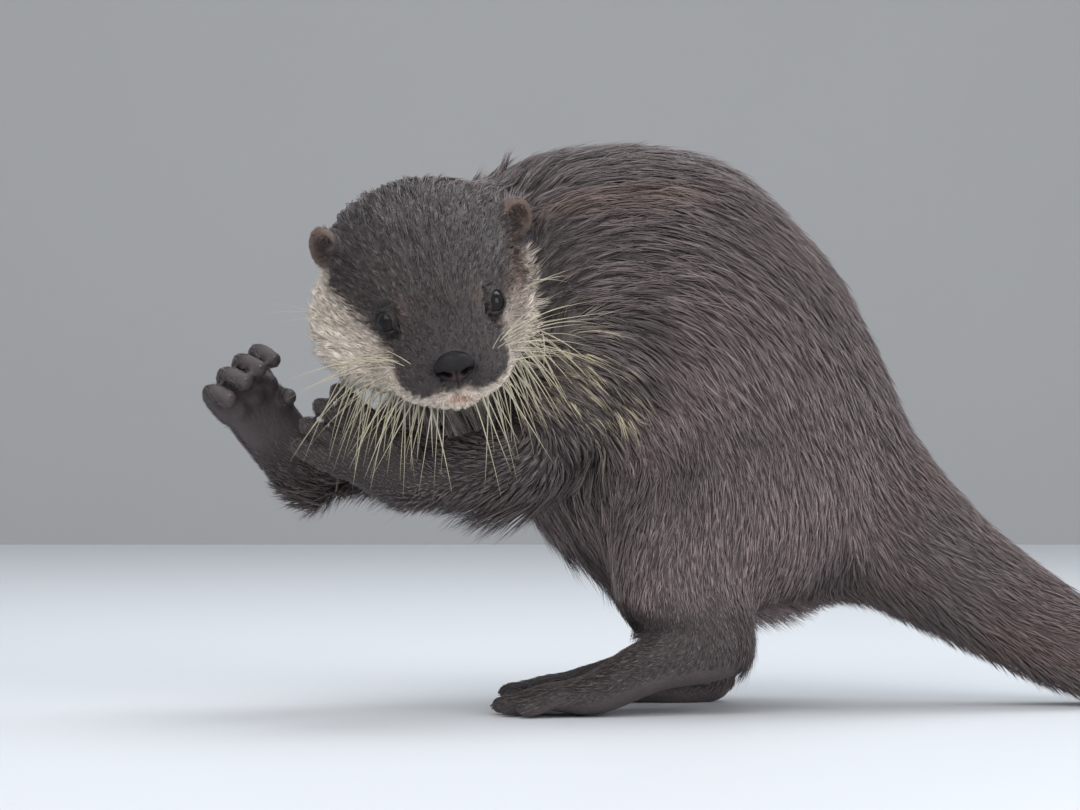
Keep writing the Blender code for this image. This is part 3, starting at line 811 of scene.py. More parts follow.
def dark_of(head, body, on_head, ears, eyes):
    """How dark the coat is: on the cap with its streaks, the snout and the eyes, with painted shade in the
    ears' hollows and the folds.
    """
    x, y, z = head.T
    streaks = np.sin(y * 1.15 + 1.3 * np.sin(x * 0.16 + 0.6)) + 0.6 * np.sin(y * 2.1 - 0.14 * x + 1.1)
    streaks = streaks * step(-6, 8, x) * step(56, 44, x) * step(4, 14, z) * step(34, 26, np.abs(y))
    crown = (0.62 + 0.21 * streaks) * step(0.2, 0.8, on_head) * (1 - 0.6 * ears)
    bridge = dome(head, (-2, 0, 0), (20, 10, math.inf)) * step(-4, 2, z)
    sockets = [distance_to_line(head, np.array(BEHIND_EYE) * (1, side, 1))[0] for side in SIDES]
    sockets = np.exp(-((np.minimum(*sockets) / 6) ** 2))
    crown = crown + 0.14 * np.maximum(bridge, sockets) * on_head
    snout = dome(head, (-20, 0, -5), (19, 17, 13)) * (z > -19)
    # the folds' share is painted shade in the hollows
    dark = [0.95 * eyes, crown + 0.3 * snout, 0.16 * folds(from_frame(BODY, body))]
    # painted shade in each ear's hollow
    for side in SIDES:
        away = (head - (43.5, 38.6 * side, 9.6 + EAR_RISE[side])) / (3.5, 4.4, 5.4)
        dark.append(0.8 * within(away, (0, 0, 0), 0.8, 1.25))
    return np.maximum.reduce(dark)


def markings(head, body, on_head, arms):
    """The shares of cream, buff and so on, with painted shade in the dark share. On_head is 1 on the head,
    arms on the arms, and both fall off.
    """
    x, y, z = head.T
    far, along = distance_to_line(head, TEMPLE)
    temple = np.exp(-((far / 7.5) ** 2)) * (1 - 0.5 * along)
    far, _ = distance_to_line(head, np.array(TEMPLE) * (1, -1, 1))
    temple = np.maximum(temple, 0.3 * np.exp(-((far / 5.0) ** 2)))
    brows = dome(np.stack([x, np.abs(y), z], axis=1), (-7, 15, 8), (5, 5, 3.5))
    ears = step(38, 42, x) * step(1, 5, z) * step(30, 34, np.abs(y)) * step(60, 54, x)
    eyes = [step(2.6, 1.3, eye_opening(head, side)[2]) for side in SIDES]
    eyes = np.maximum(*eyes) * face_near(head)
    cream = cream_of(head, on_head, arms) * (1 - 0.9 * temple) * (1 - 0.8 * eyes)
    border = 1.6 * cream * (1 - cream) * step(8, -6, x) * on_head
    warm = np.maximum.reduce([temple * on_head, 0.3 * brows * on_head, 0.3 * ears, border])
    buff = step(24, 3, distance_to_line(body, BUFF_LINE)[0]) * (1 - 0.6 * on_head) * (1 - cream)
    pink = dome(head, (0, 0, -19.5), (math.inf, 3.6, 1.5)) * step(-20, -26, x)
    dark = dark_of(head, body, on_head, ears, eyes) * (1 - cream)
    return {"cream": cream, "buff": buff, "warm": warm, "pink": pink, "dark": dark}


def bareness(regions, head, normals):
    """How naked the skin is: palms, soles and digits, the eyes' lids and the nose's rim."""
    body = in_frame(BODY, from_frame(HEAD, head))
    naked = np.where(among(regions, "hind_foot") > 0, step(0.1, -0.4, normals[:, 2]), 0)
    for hand in HANDS:
        near = within(body, hand.knuckles, 22, 36)
        palm = step(-0.1, 0.4, normals @ np.array(hand_axes(hand)[2])) * near
        naked = np.where((among(regions, "forepaw") > 0) & (near > 0), palm, naked)
    for side in SIDES:
        out, _, round_it, _ = eye_opening(head, side)
        naked = np.maximum(naked, step(1.2, 1.05, round_it) * (out > 0))
    return np.maximum(naked, step(1.08, 0.96, nose_away(head)))


def thinned(skin, most):
    """Brings the skin down to so many triangles. The face, ears, hands and feet stay as they are."""
    mesh = skin.data
    points = points_of(mesh)
    head, body = in_frame(HEAD, points), in_frame(BODY, points)
    fine = length_of(head - (-14, 0, -4))[:, 0] < 33
    for side in SIDES:
        fine |= length_of(head - (46, 36 * side, 10))[:, 0] < 13
    ends = [(hand.knuckles, 27) for hand in HANDS] + [(LEFT_BALL, 32), (RIGHT_BALL, 32)]
    for place, reach in ends:
        fine |= length_of(body - np.array(place) - (-6, 0, 0))[:, 0] < reach
    group = skin.vertex_groups.new(name="fine")
    group.add(np.flatnonzero(fine).tolist(), 1.0, "REPLACE")
    mesh.calc_loop_triangles()
    thin = skin.modifiers.new("Thin", "DECIMATE")
    thin.ratio = most / len(mesh.loop_triangles)
    thin.use_collapse_triangulate = True
    thin.vertex_group = group.name
    thin.invert_vertex_group = True
    applied(skin)
    skin.vertex_groups.clear()


def joined_skin(sizes, flesh_tree, region):
    """The body, muzzle, ears, feet and hands in one closed skin, evened out where the limbs bend."""
    shapes = [base_skin(flesh_tree, region), *muzzle(), *ear(LEFT), *ear(RIGHT)]
    shapes += hind_foot(LEFT_KNEE, LEFT_HEEL, LEFT_BALL, 6) + hind_foot(RIGHT_KNEE, RIGHT_HEEL, RIGHT_BALL, 2)
    for hand in HANDS:
        shapes += forepaw(hand)
    skin = remeshed(joined("skin", shapes), sizes.skin_grain / MM)
    edges = edges_of(skin.data)
    points = spread(points_of(skin.data), edges, 3)
    body = in_frame(BODY, points)
    bend = np.zeros(len(points))
    for place, reach in BENDS:
        bend = np.maximum(bend, within(body, place, reach * 0.55, reach))
    softer = spread(points, edges, 45)
    set_points(skin.data, points + (softer - points) * bend[:, None])
    return skin


def face_modelled(skin, radius):
    """Folds the skin of the face round eyeballs of this radius and the nose, and keeps it off the floor."""
    mesh = skin.data
    normals = normals_of(mesh) @ np.array(HEAD.to_3x3().normalized())
    head = in_frame(HEAD, points_of(mesh))
    near = np.flatnonzero((head[:, 0] < 34) & (length_of(head)[:, 0] < 60))
    head[near] = nose_bed(sculpted(head[near], normals[near], radius))
    points = from_frame(HEAD, head)
    points[:, 2] = np.maximum(points[:, 2], SKIN_GAP)
    set_points(mesh, points)


def marked_skin(mesh, regions):
    """Writes the markings with their painted shade and painted fill light, how sleek the coat is and how bare
    the skin is, on the skin's points.
    """
    edges = edges_of(mesh)
    points = points_of(mesh)
    normals = normals_of(mesh)
    head, body = in_frame(HEAD, points), in_frame(BODY, points)
    on_head = spread(among(regions, "head"), edges, 12)
    arms = spread(among(regions, "upper_arm", "forearm", "forepaw"), edges, 4)
    trunk = among(regions, "chest", "abdomen", "rump", "thigh")
    # painted fill light: the trunk's downward-facing coat and skin are lightened by taking away dark share
    under = spread(trunk * step(0.45, -0.4, normals[:, 2]), edges, 20)
    marks = {name: spread(values, edges, 2) for name, values in markings(head, body, on_head, arms).items()}
    marks["dark"] = marks["dark"] - 1.2 * under
    sleek = among(regions, "thigh", "shank", "rump", "tail") + 0.5 * among(regions, "abdomen")
    marks["sleek"] = np.maximum(spread(sleek, edges, 60), 0.8 * on_head)
    marks["bare"] = spread(bareness(regions, head, normals), edges, 3)
    for name, values in marks.items():
        write_attribute(mesh, name, values)


def build_skin(sizes):
    """One closed skin over the whole animal, with its markings on its points, and each point's region."""
    flesh, region = flesh_points()
    flesh_tree = tree_of(flesh)
    skin = joined_skin(sizes, flesh_tree, region)
    face_subdivided(skin.data)
    face_modelled(skin, sizes.eye_radius / MM)
    thinned(skin, SKIN_TRIANGLES)
    skin.data.shade_smooth()
    regions = region[nearest(flesh_tree, points_of(skin.data))]
    marked_skin(skin.data, regions)
    return skin, regions


# ---------------------------------------------------------------- the coat
MARKS = ("cream", "buff", "warm", "pink", "dark", "sleek")
TIMES = np.array((0.0, 0.34, 0.7, 1.0))  # where along a strand its rings lie
GIRTH = np.array((0.75, 1.0, 0.72, 0.0))  # how thick it is there
ARCH = np.array((0.0, 1.0, 0.9, 0.3))  # and how far a lock's middle stands above its sides there
LOCK_STEPS = 6  # how many steps a lock's line takes over the skin
ROOTED = 0.35  # how deep in the skin a strand starts
PATCH = 0.003  # a strand's size on the unwrap
MOST_STRANDS = 12000  # in one piece of the coat


def comb(points, edges):
    """The way in which the coat lies at each point, as a unit vector."""
    chains = [(BODY, chain) for chain in BODY_CHAINS]
    for frame_of, pairs in ((HEAD, HEAD_PAIRS), (BODY, BODY_PAIRS)):
        for chain in pairs:
            chains += [(frame_of, [(x, y * side, z) for x, y, z in chain]) for side in SIDES]
    places, ways = [], []
    for frame_of, chain in chains:
        rows = from_frame(frame_of, rows_through(chain, 6))
        places.append(rows)
        ways.append(unit(np.gradient(rows, axis=0)))
    places, ways = np.vstack(places), np.vstack(ways)
    flow = np.zeros_like(points)
    at_once = 8000
    for start in range(0, len(points), at_once):
        some = slice(start, start + at_once)
        far = ((points[some, None] - places[None]) ** 2).sum(axis=2)
        flow[some] = ((far + (4 * MM) ** 2) ** -2) @ ways
    return unit(spread(unit(flow), edges, 10))


def flat_on(vectors, normals):
    """The part of each vector that lies in the surface, at length 1."""
    return unit(vectors - normals * (vectors * normals).sum(axis=-1, keepdims=True))


def unwrap_finder(skin):
    """Finds a place on an unwrap of the skin's own shape for any point on it."""
    proxy = skin.copy()
    proxy.data = skin.data.copy()
    bpy.context.scene.collection.objects.link(proxy)
    thin = proxy.modifiers.new("Thin", "DECIMATE")
    thin.ratio = 0.05
    thin.use_collapse_triangulate = True
    applied(proxy)
    bpy.ops.object.mode_set(mode="EDIT")
    bpy.ops.mesh.select_all(action="SELECT")
    bpy.ops.uv.smart_project(angle_limit=math.radians(66), island_margin=0.004)
    bpy.ops.object.mode_set(mode="OBJECT")
    mesh = proxy.data
    corners = array_of(mesh.loops, "vertex_index", 1, np.int32).reshape(-1, 3)
    places = points_of(mesh)[corners]
    charts = array_of(mesh.uv_layers.active.uv, "vector", 2).reshape(-1, 3, 2)
    finder = BVHTree.FromObject(proxy, bpy.context.evaluated_depsgraph_get())
    bpy.data.objects.remove(proxy)

    def find(points):
        """Where these points lie on the unwrap."""
        hits = [finder.find_nearest(point) for point in points]
        face = np.array([hit[2] for hit in hits])
        place = np.array([hit[0] for hit in hits])
        a, b, c = places[face, 0], places[face, 1], places[face, 2]
        whole = np.maximum(length_of(np.cross(b - a, c - a)), 1e-15)
        share = [length_of(np.cross(q - place, r - place)) / whole for q, r in ((b, c), (c, a), (a, b))]
        return sum(w * charts[face, i] for i, w in enumerate(share)) / np.maximum(sum(share), 1e-9)

    return find


def scattered(rng, points, triangles, density):
    """Roots spread over the skin: so many to each square centimetre, on a triangle with that many at it."""
    a, b, c = points[triangles[:, 0]], points[triangles[:, 1]], points[triangles[:, 2]]
    area = length_of(np.cross(b - a, c - a))[:, 0] / 2
    wanted = area * 1e4 * density[triangles].mean(axis=1)
    count = np.floor(wanted + rng.random(len(wanted))).astype(int)
    face = np.repeat(np.arange(len(triangles)), count)
    u, v = rng.random(len(face)), rng.random(len(face))
    over = u + v > 1
    u, v = np.where(over, 1 - u, u), np.where(over, 1 - v, v)
    return a[face] + (b - a)[face] * u[:, None] + (c - a)[face] * v[:, None], triangles[face, 0]


def locks(rng, lie):
    """Where locks are rooted, and each one's nearest point of the skin."""
    crowd = 2.5e2 / lie.plan[APART] ** 2 * (lie.plan[DENSITY] > 0)
    places, index = scattered(rng, lie.points, lie.triangles, crowd)
    order = rng.permutation(len(places))
    level = np.round(np.log2(lie.plan[APART][index[order]]) * 2) / 2
    cells = np.floor(places[order] / (2**level * MM)[:, None]).astype(int)
    keys = np.column_stack([cells, (level * 2).astype(int)])
    _, first = np.unique(keys, axis=0, return_index=True)
    return places[order[first]], index[order[first]]


class Lie:
    """The skin's points with the coat's plan on each: lie, length, width and so on."""

    def __init__(self, skin, regions):
        mesh = skin.data
        self.points = points_of(mesh)
        self.normals = normals_of(mesh).astype(float)
        self.edges = edges_of(mesh)
        mesh.calc_loop_triangles()
        self.triangles = array_of(mesh.loop_triangles, "vertices", 3, np.int32)
        self.tree = tree_of(self.points)
        self.flow = flat_on(comb(self.points, self.edges), self.normals)
        table = np.array(list(COATS.values()), float)
        self.plan = [spread(column[regions], self.edges, 60) for column in table.T]
        self.marks = {name: array_of(mesh.attributes[name].data, "value", 1) for name in MARKS}
        self.head = in_frame(HEAD, self.points)
        self.body = in_frame(BODY, self.points)
        self.regions = regions
        bare = array_of(mesh.attributes["bare"].data, "value", 1)
        self.plan[DENSITY] = self.plan[DENSITY] * step(0.75, 0.45, bare)
        self.lift = np.zeros(len(self.points))
        self.shorter_on_limbs()
        self.longer_in_fringes()
        self.shorter_on_face()

    def near(self, *names, times):
        """1 in these regions and 0 outside, with a soft border."""
        return spread(among(self.regions, *names), self.edges, times)

    def shorter_on_limbs(self):
        """The coat grows shorter and flatter down the legs and toward the wrists."""
        legs = self.near("thigh", "shank", times=12)
        shorter = 1 - legs * (1 - np.interp(self.body[:, 2], (22, 48, 82), (0.3, 0.5, 1)))
        for hand in HANDS:
            wrist = length_of(self.body - np.array(hand.heel))[:, 0]
            shorter = np.minimum(shorter, np.interp(wrist, (6, 24), (0.5, 1)))
        self.plan[LENGTH] = self.plan[LENGTH] * shorter
        self.plan[DEPTH] = self.plan[DEPTH] * (0.4 + 0.6 * shorter)
        self.plan[APART] = self.plan[APART] * (0.55 + 0.45 * shorter)
        nape = within(self.body, NAPE, 4, 11)
        self.lift = np.maximum(self.lift, nape * 18)
        self.plan[LENGTH] = self.plan[LENGTH] * (1 - 0.35 * nape)

    def longer_in_fringes(self):
        """The coat hangs longer under the arms, behind the calves and under the belly."""
        z = self.body[:, 2]
        ahead, down = self.normals[:, 0], self.normals[:, 2]
        fringe = self.near("upper_arm", "forearm", times=8) * step(-0.2, -0.8, down)
        calf = among(self.regions, "thigh", "shank", "hind_foot") * step(0.3, 0.9, ahead)
        calf = spread(calf * step(16, 26, z) * step(66, 52, z), self.edges, 6)
        for column, value in ((LENGTH, 7.0), (WIDTH, 0.34), (DENSITY, 75.0), (DEPTH, 0.9), (LEAN, 0.8)):
            self.plan[column] = np.maximum(self.plan[column], value * step(0.1, 0.5, calf))
        belly = self.near("abdomen", "rump", times=8) * step(-0.3, -0.9, down)
        hang = np.maximum.reduce([fringe, calf, 0.7 * belly])
        self.plan[LENGTH] = self.plan[LENGTH] * (1 + 0.55 * hang * (1 + calf))
        self.lift = np.maximum(self.lift, 2.6 * hang)

    def shorter_on_face(self):
        """The coat is shortest round the nose, the eyes and the lips, and longer on the cheeks."""
        x = self.head[:, 0]
        face = step(60, 40, x) * (length_of(self.head)[:, 0] < 80)
        short = step(-34, 26, x)
        for side in SIDES:
            away = length_of(self.head - np.array(EYE_SEAT) * (1, side, 1))[:, 0]
            short = np.minimum(short, 0.1 + 0.9 * step(4, 17, away))
        scale = (1 - face) + face * (0.24 + 0.76 * short)
        cheek = self.marks["cream"] * step(-8, 14, x) * face * np.where(self.head[:, 1] < 0, 0.25, 0.8)
        self.plan[LENGTH] = self.plan[LENGTH] * scale * (1 + 0.3 * cheek)
        self.plan[WIDTH] = self.plan[WIDTH] * (0.68 + 0.32 * scale)
        self.plan[LEAN] = self.plan[LEAN] * (1 - 0.25 * face * self.marks["cream"])
        self.plan[APART] = self.plan[APART] * (0.6 + 0.4 * scale)
        self.plan[DENSITY] = self.plan[DENSITY] * (1 + 0.7 * face * (1 - short))
        self.plan[DEPTH] = self.plan[DEPTH] * (0.35 + 0.65 * scale) * (1 + 1.2 * cheek)
        self.lift = np.maximum(self.lift, 3.4 * cheek)
        naked = nose_away(self.head) < 0.93
        for side in SIDES:
            far, _, round_it, _ = eye_opening(self.head, side)
            naked |= (round_it < 1.12) & (far > -1) & (far < 9)
        self.plan[DENSITY] = np.where(naked, 0, self.plan[DENSITY])


def lock_paths(rng, lie, roots, at):
    """The middle line of each lock: it leaves its root, follows the lie of the coat and lifts at its tip."""
    length = lie.plan[LENGTH][at] * MM * rng.uniform(0.72, 1.18, len(at))
    height = rng.beta(1.6, 1.3, len(at))
    depth = lie.plan[DEPTH][at] * MM * (0.3 + 0.9 * height)
    bend = rng.normal(0, 0.13, len(at))
    place = roots
    index = at
    path, up = [], []
    for _ in range(LOCK_STEPS + 1):
        normal = lie.normals[index]
        path.append(place)
        up.append(normal)
        flow = lie.flow[index]
        flow = flow + np.cross(normal, flow) * bend[:, None]
        place = place + flat_on(flow, normal) * (length / LOCK_STEPS)[:, None]
        index = nearest(lie.tree, place)
        normal = lie.normals[index]
        place = place - normal * ((place - lie.points[index]) * normal).sum(axis=1, keepdims=True)
    grid = np.linspace(0, 1, LOCK_STEPS + 1)
    lie.tones = rng.normal(0, 1, len(at))
    path, up = np.array(path), np.array(up)
    drop = np.clip(-up[..., 2], 0, 1) * lie.plan[LENGTH][at] * MM
    rise = depth * (np.sin(np.minimum(grid * 2.2, 1) * math.pi / 2) * (0.82 + 0.18 * grid))[:, None]
    lift = lie.lift[at] * rng.beta(1.2, 1.6, len(at)) * MM
    lift = lift + (rng.random(len(at)) < 0.03) * 0.5 * depth  # a few locks stand up anywhere
    rise = rise + lift * (grid**1.8)[:, None]
    path = path + up * rise[..., None]
    path[..., 2] -= drop * (grid**2.2)[:, None] * 0.35
    at_times = np.clip(TIMES * LOCK_STEPS, 0, LOCK_STEPS)
    low = np.minimum(at_times.astype(int), LOCK_STEPS - 1)
    part = (at_times - low)[:, None, None]
    ways = path[low] * (1 - part) + path[low + 1] * part
    ups = unit(up[low] * (1 - part) + up[low + 1] * part)
    return np.swapaxes(ways, 0, 1), np.swapaxes(ups, 0, 1)


def strands(rng, lie, ways, ups):
    """Strands of wet hair. Each leaves its own root and leans into the lock that stands nearest."""
    roots, index = scattered(rng, lie.points, lie.triangles, lie.plan[DENSITY])
    owner = nearest(tree_of(ways[:, 0]), roots)
    offset = roots - ways[owner, 0]
    lean = lie.plan[LEAN][index][:, None] * rng.uniform(0.8, 1.15, (len(roots), 1))
    off_axis = np.abs((offset * np.cross(unit(ways[owner, 1] - ways[owner, 0]), ups[owner, 0])).sum(axis=1))
    crest = 1 - np.clip(off_axis / (lie.plan[APART][index] * MM * 0.55), 0, 1)
    keep = 1 - np.clip(lean, 0, 0.96) * TIMES[None] ** 0.8
    reach = rng.uniform(0.8, 1.0, (len(roots), 1, 1))
    line = ways[owner] + offset[:, None] * keep[..., None]
    line = line[:, :1] + (line - line[:, :1]) * reach
    stray = rng.normal(0, 0.05, (len(roots), 3)) * (lie.plan[LENGTH][index] * MM)[:, None]
    line = line + stray[:, None] * (TIMES**2)[None, :, None]
    up = ups[owner]
    arch = (crest - 0.6) * lie.plan[DEPTH][index] * MM * 0.45
    line = line + up * (arch[:, None] * ARCH[None])[..., None]
    line[:, 0] -= up[:, 0] * ROOTED * MM
    line[..., 2] = np.maximum(line[..., 2], HAIR_GAP)
    along = unit(np.gradient(line, axis=1))
    side = unit(np.cross(along, up))
    up = np.cross(side, along)
    return roots, index, owner, line, side, up, crest


def woven(name, chosen, rng, lie, parts, charts, short):
    """One piece of the coat: every chosen strand as a thin closed spike, three-sided and ridged on top."""
    _, index, owner, line, side, up, crest = (part[chosen] for part in parts)
    used = [0, 1, 3] if short else [0, 1, 2, 3]
    line, side, up, times, girth = line[:, used], side[:, used], up[:, used], TIMES[used], GIRTH[used]
    count = len(index)
    wide = (lie.plan[WIDTH][index] * MM * rng.uniform(0.75, 1.2, count))[:, None] * girth[None]
    half = side * wide[..., None] / 2
    ridge = up * wide[..., None] * 0.42
    rings = np.stack([line - half, line + ridge, line + half], axis=2)[:, :-1]
    points = np.concatenate([rings.reshape(count, -1, 3), line[:, -1:]], axis=1)
    each = points.shape[1]
    faces = repeated(spike(len(times) - 1, 3), count, each)
    made = object_of(name, points.reshape(-1, 3), faces)
    along = np.append(np.repeat(times[:-1], 3), 1)
    across = np.append(np.tile((-0.5, 0, 0.5), len(times) - 1), 0)
    spots = charts[chosen][:, None] + np.stack([across, along - 0.5], axis=1)[None] * PATCH
    chart = made.data.uv_layers.new(name="OFBake")
    chart.uv.foreach_set("vector", spots.reshape(-1, 2)[faces.ravel()].astype(np.float32).ravel())
    tone = 0.8 * lie.tones[owner] + 0.7 * rng.normal(0, 1, count)
    write_attribute(made.data, "along", np.tile(along, count))
    write_attribute(made.data, "crest", np.repeat(crest, each))
    write_attribute(made.data, "tone", np.repeat(tone, each))
    for mark, values in lie.marks.items():
        write_attribute(made.data, mark, np.repeat(values[index], each))
    return made


# ---------------------------------------------------------------- eyes, nose, claws and whiskers
def eyeball(side, radius):
    """An eyeball with a swollen cornea. The gaze attribute is 1 at the pupil's middle, less to the back."""
    name = "eye_left" if side == LEFT else "eye_right"
    made = ball(f"{name}_ball", (0, 0, 0), (1, 1, 1), Matrix.Identity(4), segments=48, rings=32)
    points = points_of(made.data)
    centre, out, front, up = eye_axes(side)
    gaze = points[:, 2]
    swell = 1 + 0.04 * step(0.72, 0.97, gaze)
    axes = np.stack([front, up, out])
    set_points(made.data, from_frame(HEAD, centre + (points * swell[:, None] * radius) @ axes))
    if np.linalg.det(axes) < 0:
        made.data.flip_normals()
    write_attribute(made.data, "gaze", gaze)
    return made


def eyelids(side, radius):
    """The wet dark edge of an eye's lids, as a closed ring, with a small fold at the front corner."""
    centre, out, front, up = eye_axes(side)
    count, sides = 72, 10
    angle = np.arange(count) * 2 * math.pi / count
    a = np.cos(angle) * np.where(np.cos(angle) > 0, *EYE_WIDE)
    b = np.sin(angle) * lid_height(np.sin(angle), a)
    h = np.sqrt(np.maximum((radius + 0.15) ** 2 - a * a - b * b, 1.0))
    path = centre + a[:, None] * front + b[:, None] * up + h[:, None] * out
    along = unit(np.roll(path, -1, axis=0) - np.roll(path, 1, axis=0))
    away = unit(path - centre)
    beside = np.cross(along, away)
    turn = (np.arange(sides) * 2 * math.pi / sides)[None, :, None]
    girth = 0.46 + 0.2 * np.exp(-(((a - 4.6) / 1.2) ** 2))
    ring = beside[:, None] * np.cos(turn) * 1.25 + away[:, None] * np.sin(turn) * 0.8
    rings = path[:, None] + girth[:, None, None] * ring
    triangles = []
    for i in range(count):
        for j in range(sides):
            one, two = i * sides + j, i * sides + (j + 1) % sides
            three, four = (i + 1) % count * sides + j, (i + 1) % count * sides + (j + 1) % sides
            triangles += [(one, two, three), (two, four, three)]
    return facing_out(object_of("eyelid", from_frame(HEAD, rings.reshape(-1, 3)), np.array(triangles)))


def nose_pad():
    """The bare nose: a broad rounded pad with two comma-shaped nostrils and a groove down its middle."""
    made = ball("nose_pad", (0, 0, 0), (1, 1, 1), Matrix.Identity(4), segments=112, rings=80)
    points = points_of(made.data)[:, [2, 0, 1]]
    x, y, z = (points * NOSE_SIZE).T
    ahead = x < 0
    y = y * (1 + 0.12 * step(-2, 3, z) - 0.12 * step(-2, -5, z))
    crest = 0.45 * np.exp(-((y / 2.2) ** 2)) * step(2, 5, z)
    z = z * (1 - 0.14 * step(0, 4, z)) - 0.5 * step(4, 7, np.abs(y)) - crest
    flat = np.stack([0 * x, y, z], axis=1)
    deep = np.zeros(len(x))
    for side in SIDES:
        comma = np.array([(0, 2.6, -1.2), (0, 4.4, -0.2), (0, 6.2, -0.9), (0, 7.4, -2.6)]) * (1, side, 1)
        far, along = distance_to_line(flat, comma)
        deep += 3.0 * step(1.25, 0.25, far / (1.25 - 0.55 * along)) * (x < 1)
        deep -= 0.5 * dome(flat, (0, 4.9 * side, 1.6), (1, 2.4, 1.2)) * ahead
    deep += 0.9 * np.exp(-((y / 0.55) ** 2)) * step(1.5, -0.5, z) * ahead
    # the hollow share also sets the painted shade in the nostrils
    write_attribute(made.data, "hollow", np.clip(deep / 2.4, 0, 1))
    write_attribute(made.data, "flush", dome(flat, (0, 0, -2.6), (1, 2.6, 2.4)) * ahead)
    shape = np.stack([x + deep * ahead, y, z], axis=1)
    set_points(made.data, from_frame(HEAD, shape + NOSE_SEAT))
    return facing_out(made)


def claw(way, radii, flat, end):
    """One claw along three points, drawn out to a blunt end."""
    sized = [(*point, radius, radius * flat) for point, radius in zip(way, radii)]
    return loft("claw", [*sized, (*(way[-1] + end), 0.2, 0.2)], sides=10, spans=3)


def claws():
    """Small blunt claws, one on each toe and finger, hardly longer than the pads."""
    made = []
    for x, y, _ in (LEFT_BALL, RIGHT_BALL):
        for across, reach in TOES:
            tip = Vector((x - reach - 0.4, y + across * 1.28, 4.9))
            way = [tip + Vector((2.4, 0, 0.6)), tip, tip + Vector((-2.2, across * 0.02, -1.2))]
            made.append(claw(way, (1.0, 0.85, 0.45), 0.9, Vector((-0.5, 0, -0.5))))
    for hand in HANDS:
        along, _, curl = hand_axes(hand)
        for finger in finger_ways(hand):
            back = along * 0.8 - curl * 0.2
            tip = finger[-1] + back * 2.2 + curl * 2.2
            way = [tip - curl * 1.8 + along * 0.3, tip, tip + curl * 1.8 - along * 0.8]
            made.append(claw(way, (1.05, 0.9, 0.5), 1, curl * 0.5))
    return joined("claws", made)


def whisker_plan(rng):
    """Each whisker's place on the head and its length, thickness, stiffness and backward sweep."""
    rows = []
    hanging, behind = 58, 5  # how many hang from each side of the chin and cheek, and how many grow behind
    for side in SIDES:
        for spot, (x, y, z) in whisker_spots((-22, 11.5), (3.5, 2.4)):
            size = 16 + 4 * spot + rng.uniform(-4, 8), rng.uniform(0.3, 0.5)
            rows.append(((x, y * side, z), *size, 0.8, 0.42))
        for spot in range(hanging):
            t = (spot + rng.uniform(0, 1)) / hanging
            place = (-24 + 44 * t, (2.5 + 36 * t**0.6) * side, -22.5 - 5 * t + rng.uniform(-3, 3))
            size = rng.uniform(15, 29) + 10 * t, rng.uniform(0.45, 0.85)
            rows.append((place, *size, rng.uniform(0.35, 0.8), 0.12))
        for spot in range(behind):
            place = (14 + 5 * spot, (36 + spot) * side, -4 - 2 * spot)
            rows.append((place, rng.uniform(16, 26), 0.35, 0.9, 0.42))
    return rows


def whiskers(rng, skin):
    """Stiff pale whiskers in rows on the pads, and wet ones that hang from the cheeks and the chin."""
    plan = whisker_plan(rng)
    places = from_frame(HEAD, np.array([row[0] for row in plan]))
    index = nearest(tree_of(points_of(skin.data)), places)
    root, out = points_of(skin.data)[index], normals_of(skin.data).astype(float)[index]
    length, thick, stiff, sweep = (np.array([row[i] for row in plan]) for i in (1, 2, 3, 4))
    back = sweep[:, None] * (np.array(HEAD.to_3x3().normalized()) @ (1, 0, 0))
    way = unit(out * stiff[:, None] + back + rng.normal(0, 0.12, out.shape) + (0, 0, -0.25))
    t = np.linspace(0, 1, 10)
    fall = np.array((0, 0, -1.0)) * (0.42 - 0.25 * stiff)[:, None] + rng.normal(0, 0.06, out.shape)
    bent = way[:, None] * t[None, :, None] + fall[:, None] * (t**2)[None, :, None]
    line = (root - out * MM * 0.8)[:, None] + bent * length[:, None, None] * MM
    along = unit(np.gradient(line, axis=1))
    side = unit(np.cross(along, (0.2, 0.1, 1.0)))
    up = np.cross(side, along)
    sides = 5
    angle = np.arange(sides) * 2 * math.pi / sides
    girth = thick[:, None] * (1 - t[None] ** 1.3 * 0.92) / 2 * MM
    rings = (
        line[:, :, None]
        + side[:, :, None] * (girth[..., None] * np.cos(angle))[..., None]
        + up[:, :, None] * (girth[..., None] * np.sin(angle))[..., None]
    )
    tips = line[:, -1:] + along[:, -1:] * 0.4 * MM
    points = np.concatenate([rings.reshape(len(plan), -1, 3), tips], axis=1)
    faces = repeated(spike(len(t), sides), len(plan), points.shape[1])
    made = object_of("whiskers", points.reshape(-1, 3), faces)
    write_attribute(made.data, "along", np.tile(np.append(np.repeat(t, sides), 1), len(plan)))
    return made


# ---------------------------------------------------------------- materials
# The nostril colour is painted shade in the nostrils' dents.
PUPIL, EYE_RIM, NOSTRIL_SHADE = (0.004, 0.004, 0.005), (0.012, 0.01, 0.01), (0.006, 0.005, 0.005)


def shade(colour, factor):
    """A colour made so much lighter or darker."""
    return tuple(part * factor for part in colour)


def coloured(value):
    """A node's output as it is, or a colour with its alpha."""
    return value if isinstance(value, bpy.types.NodeSocket) else (*value, 1)


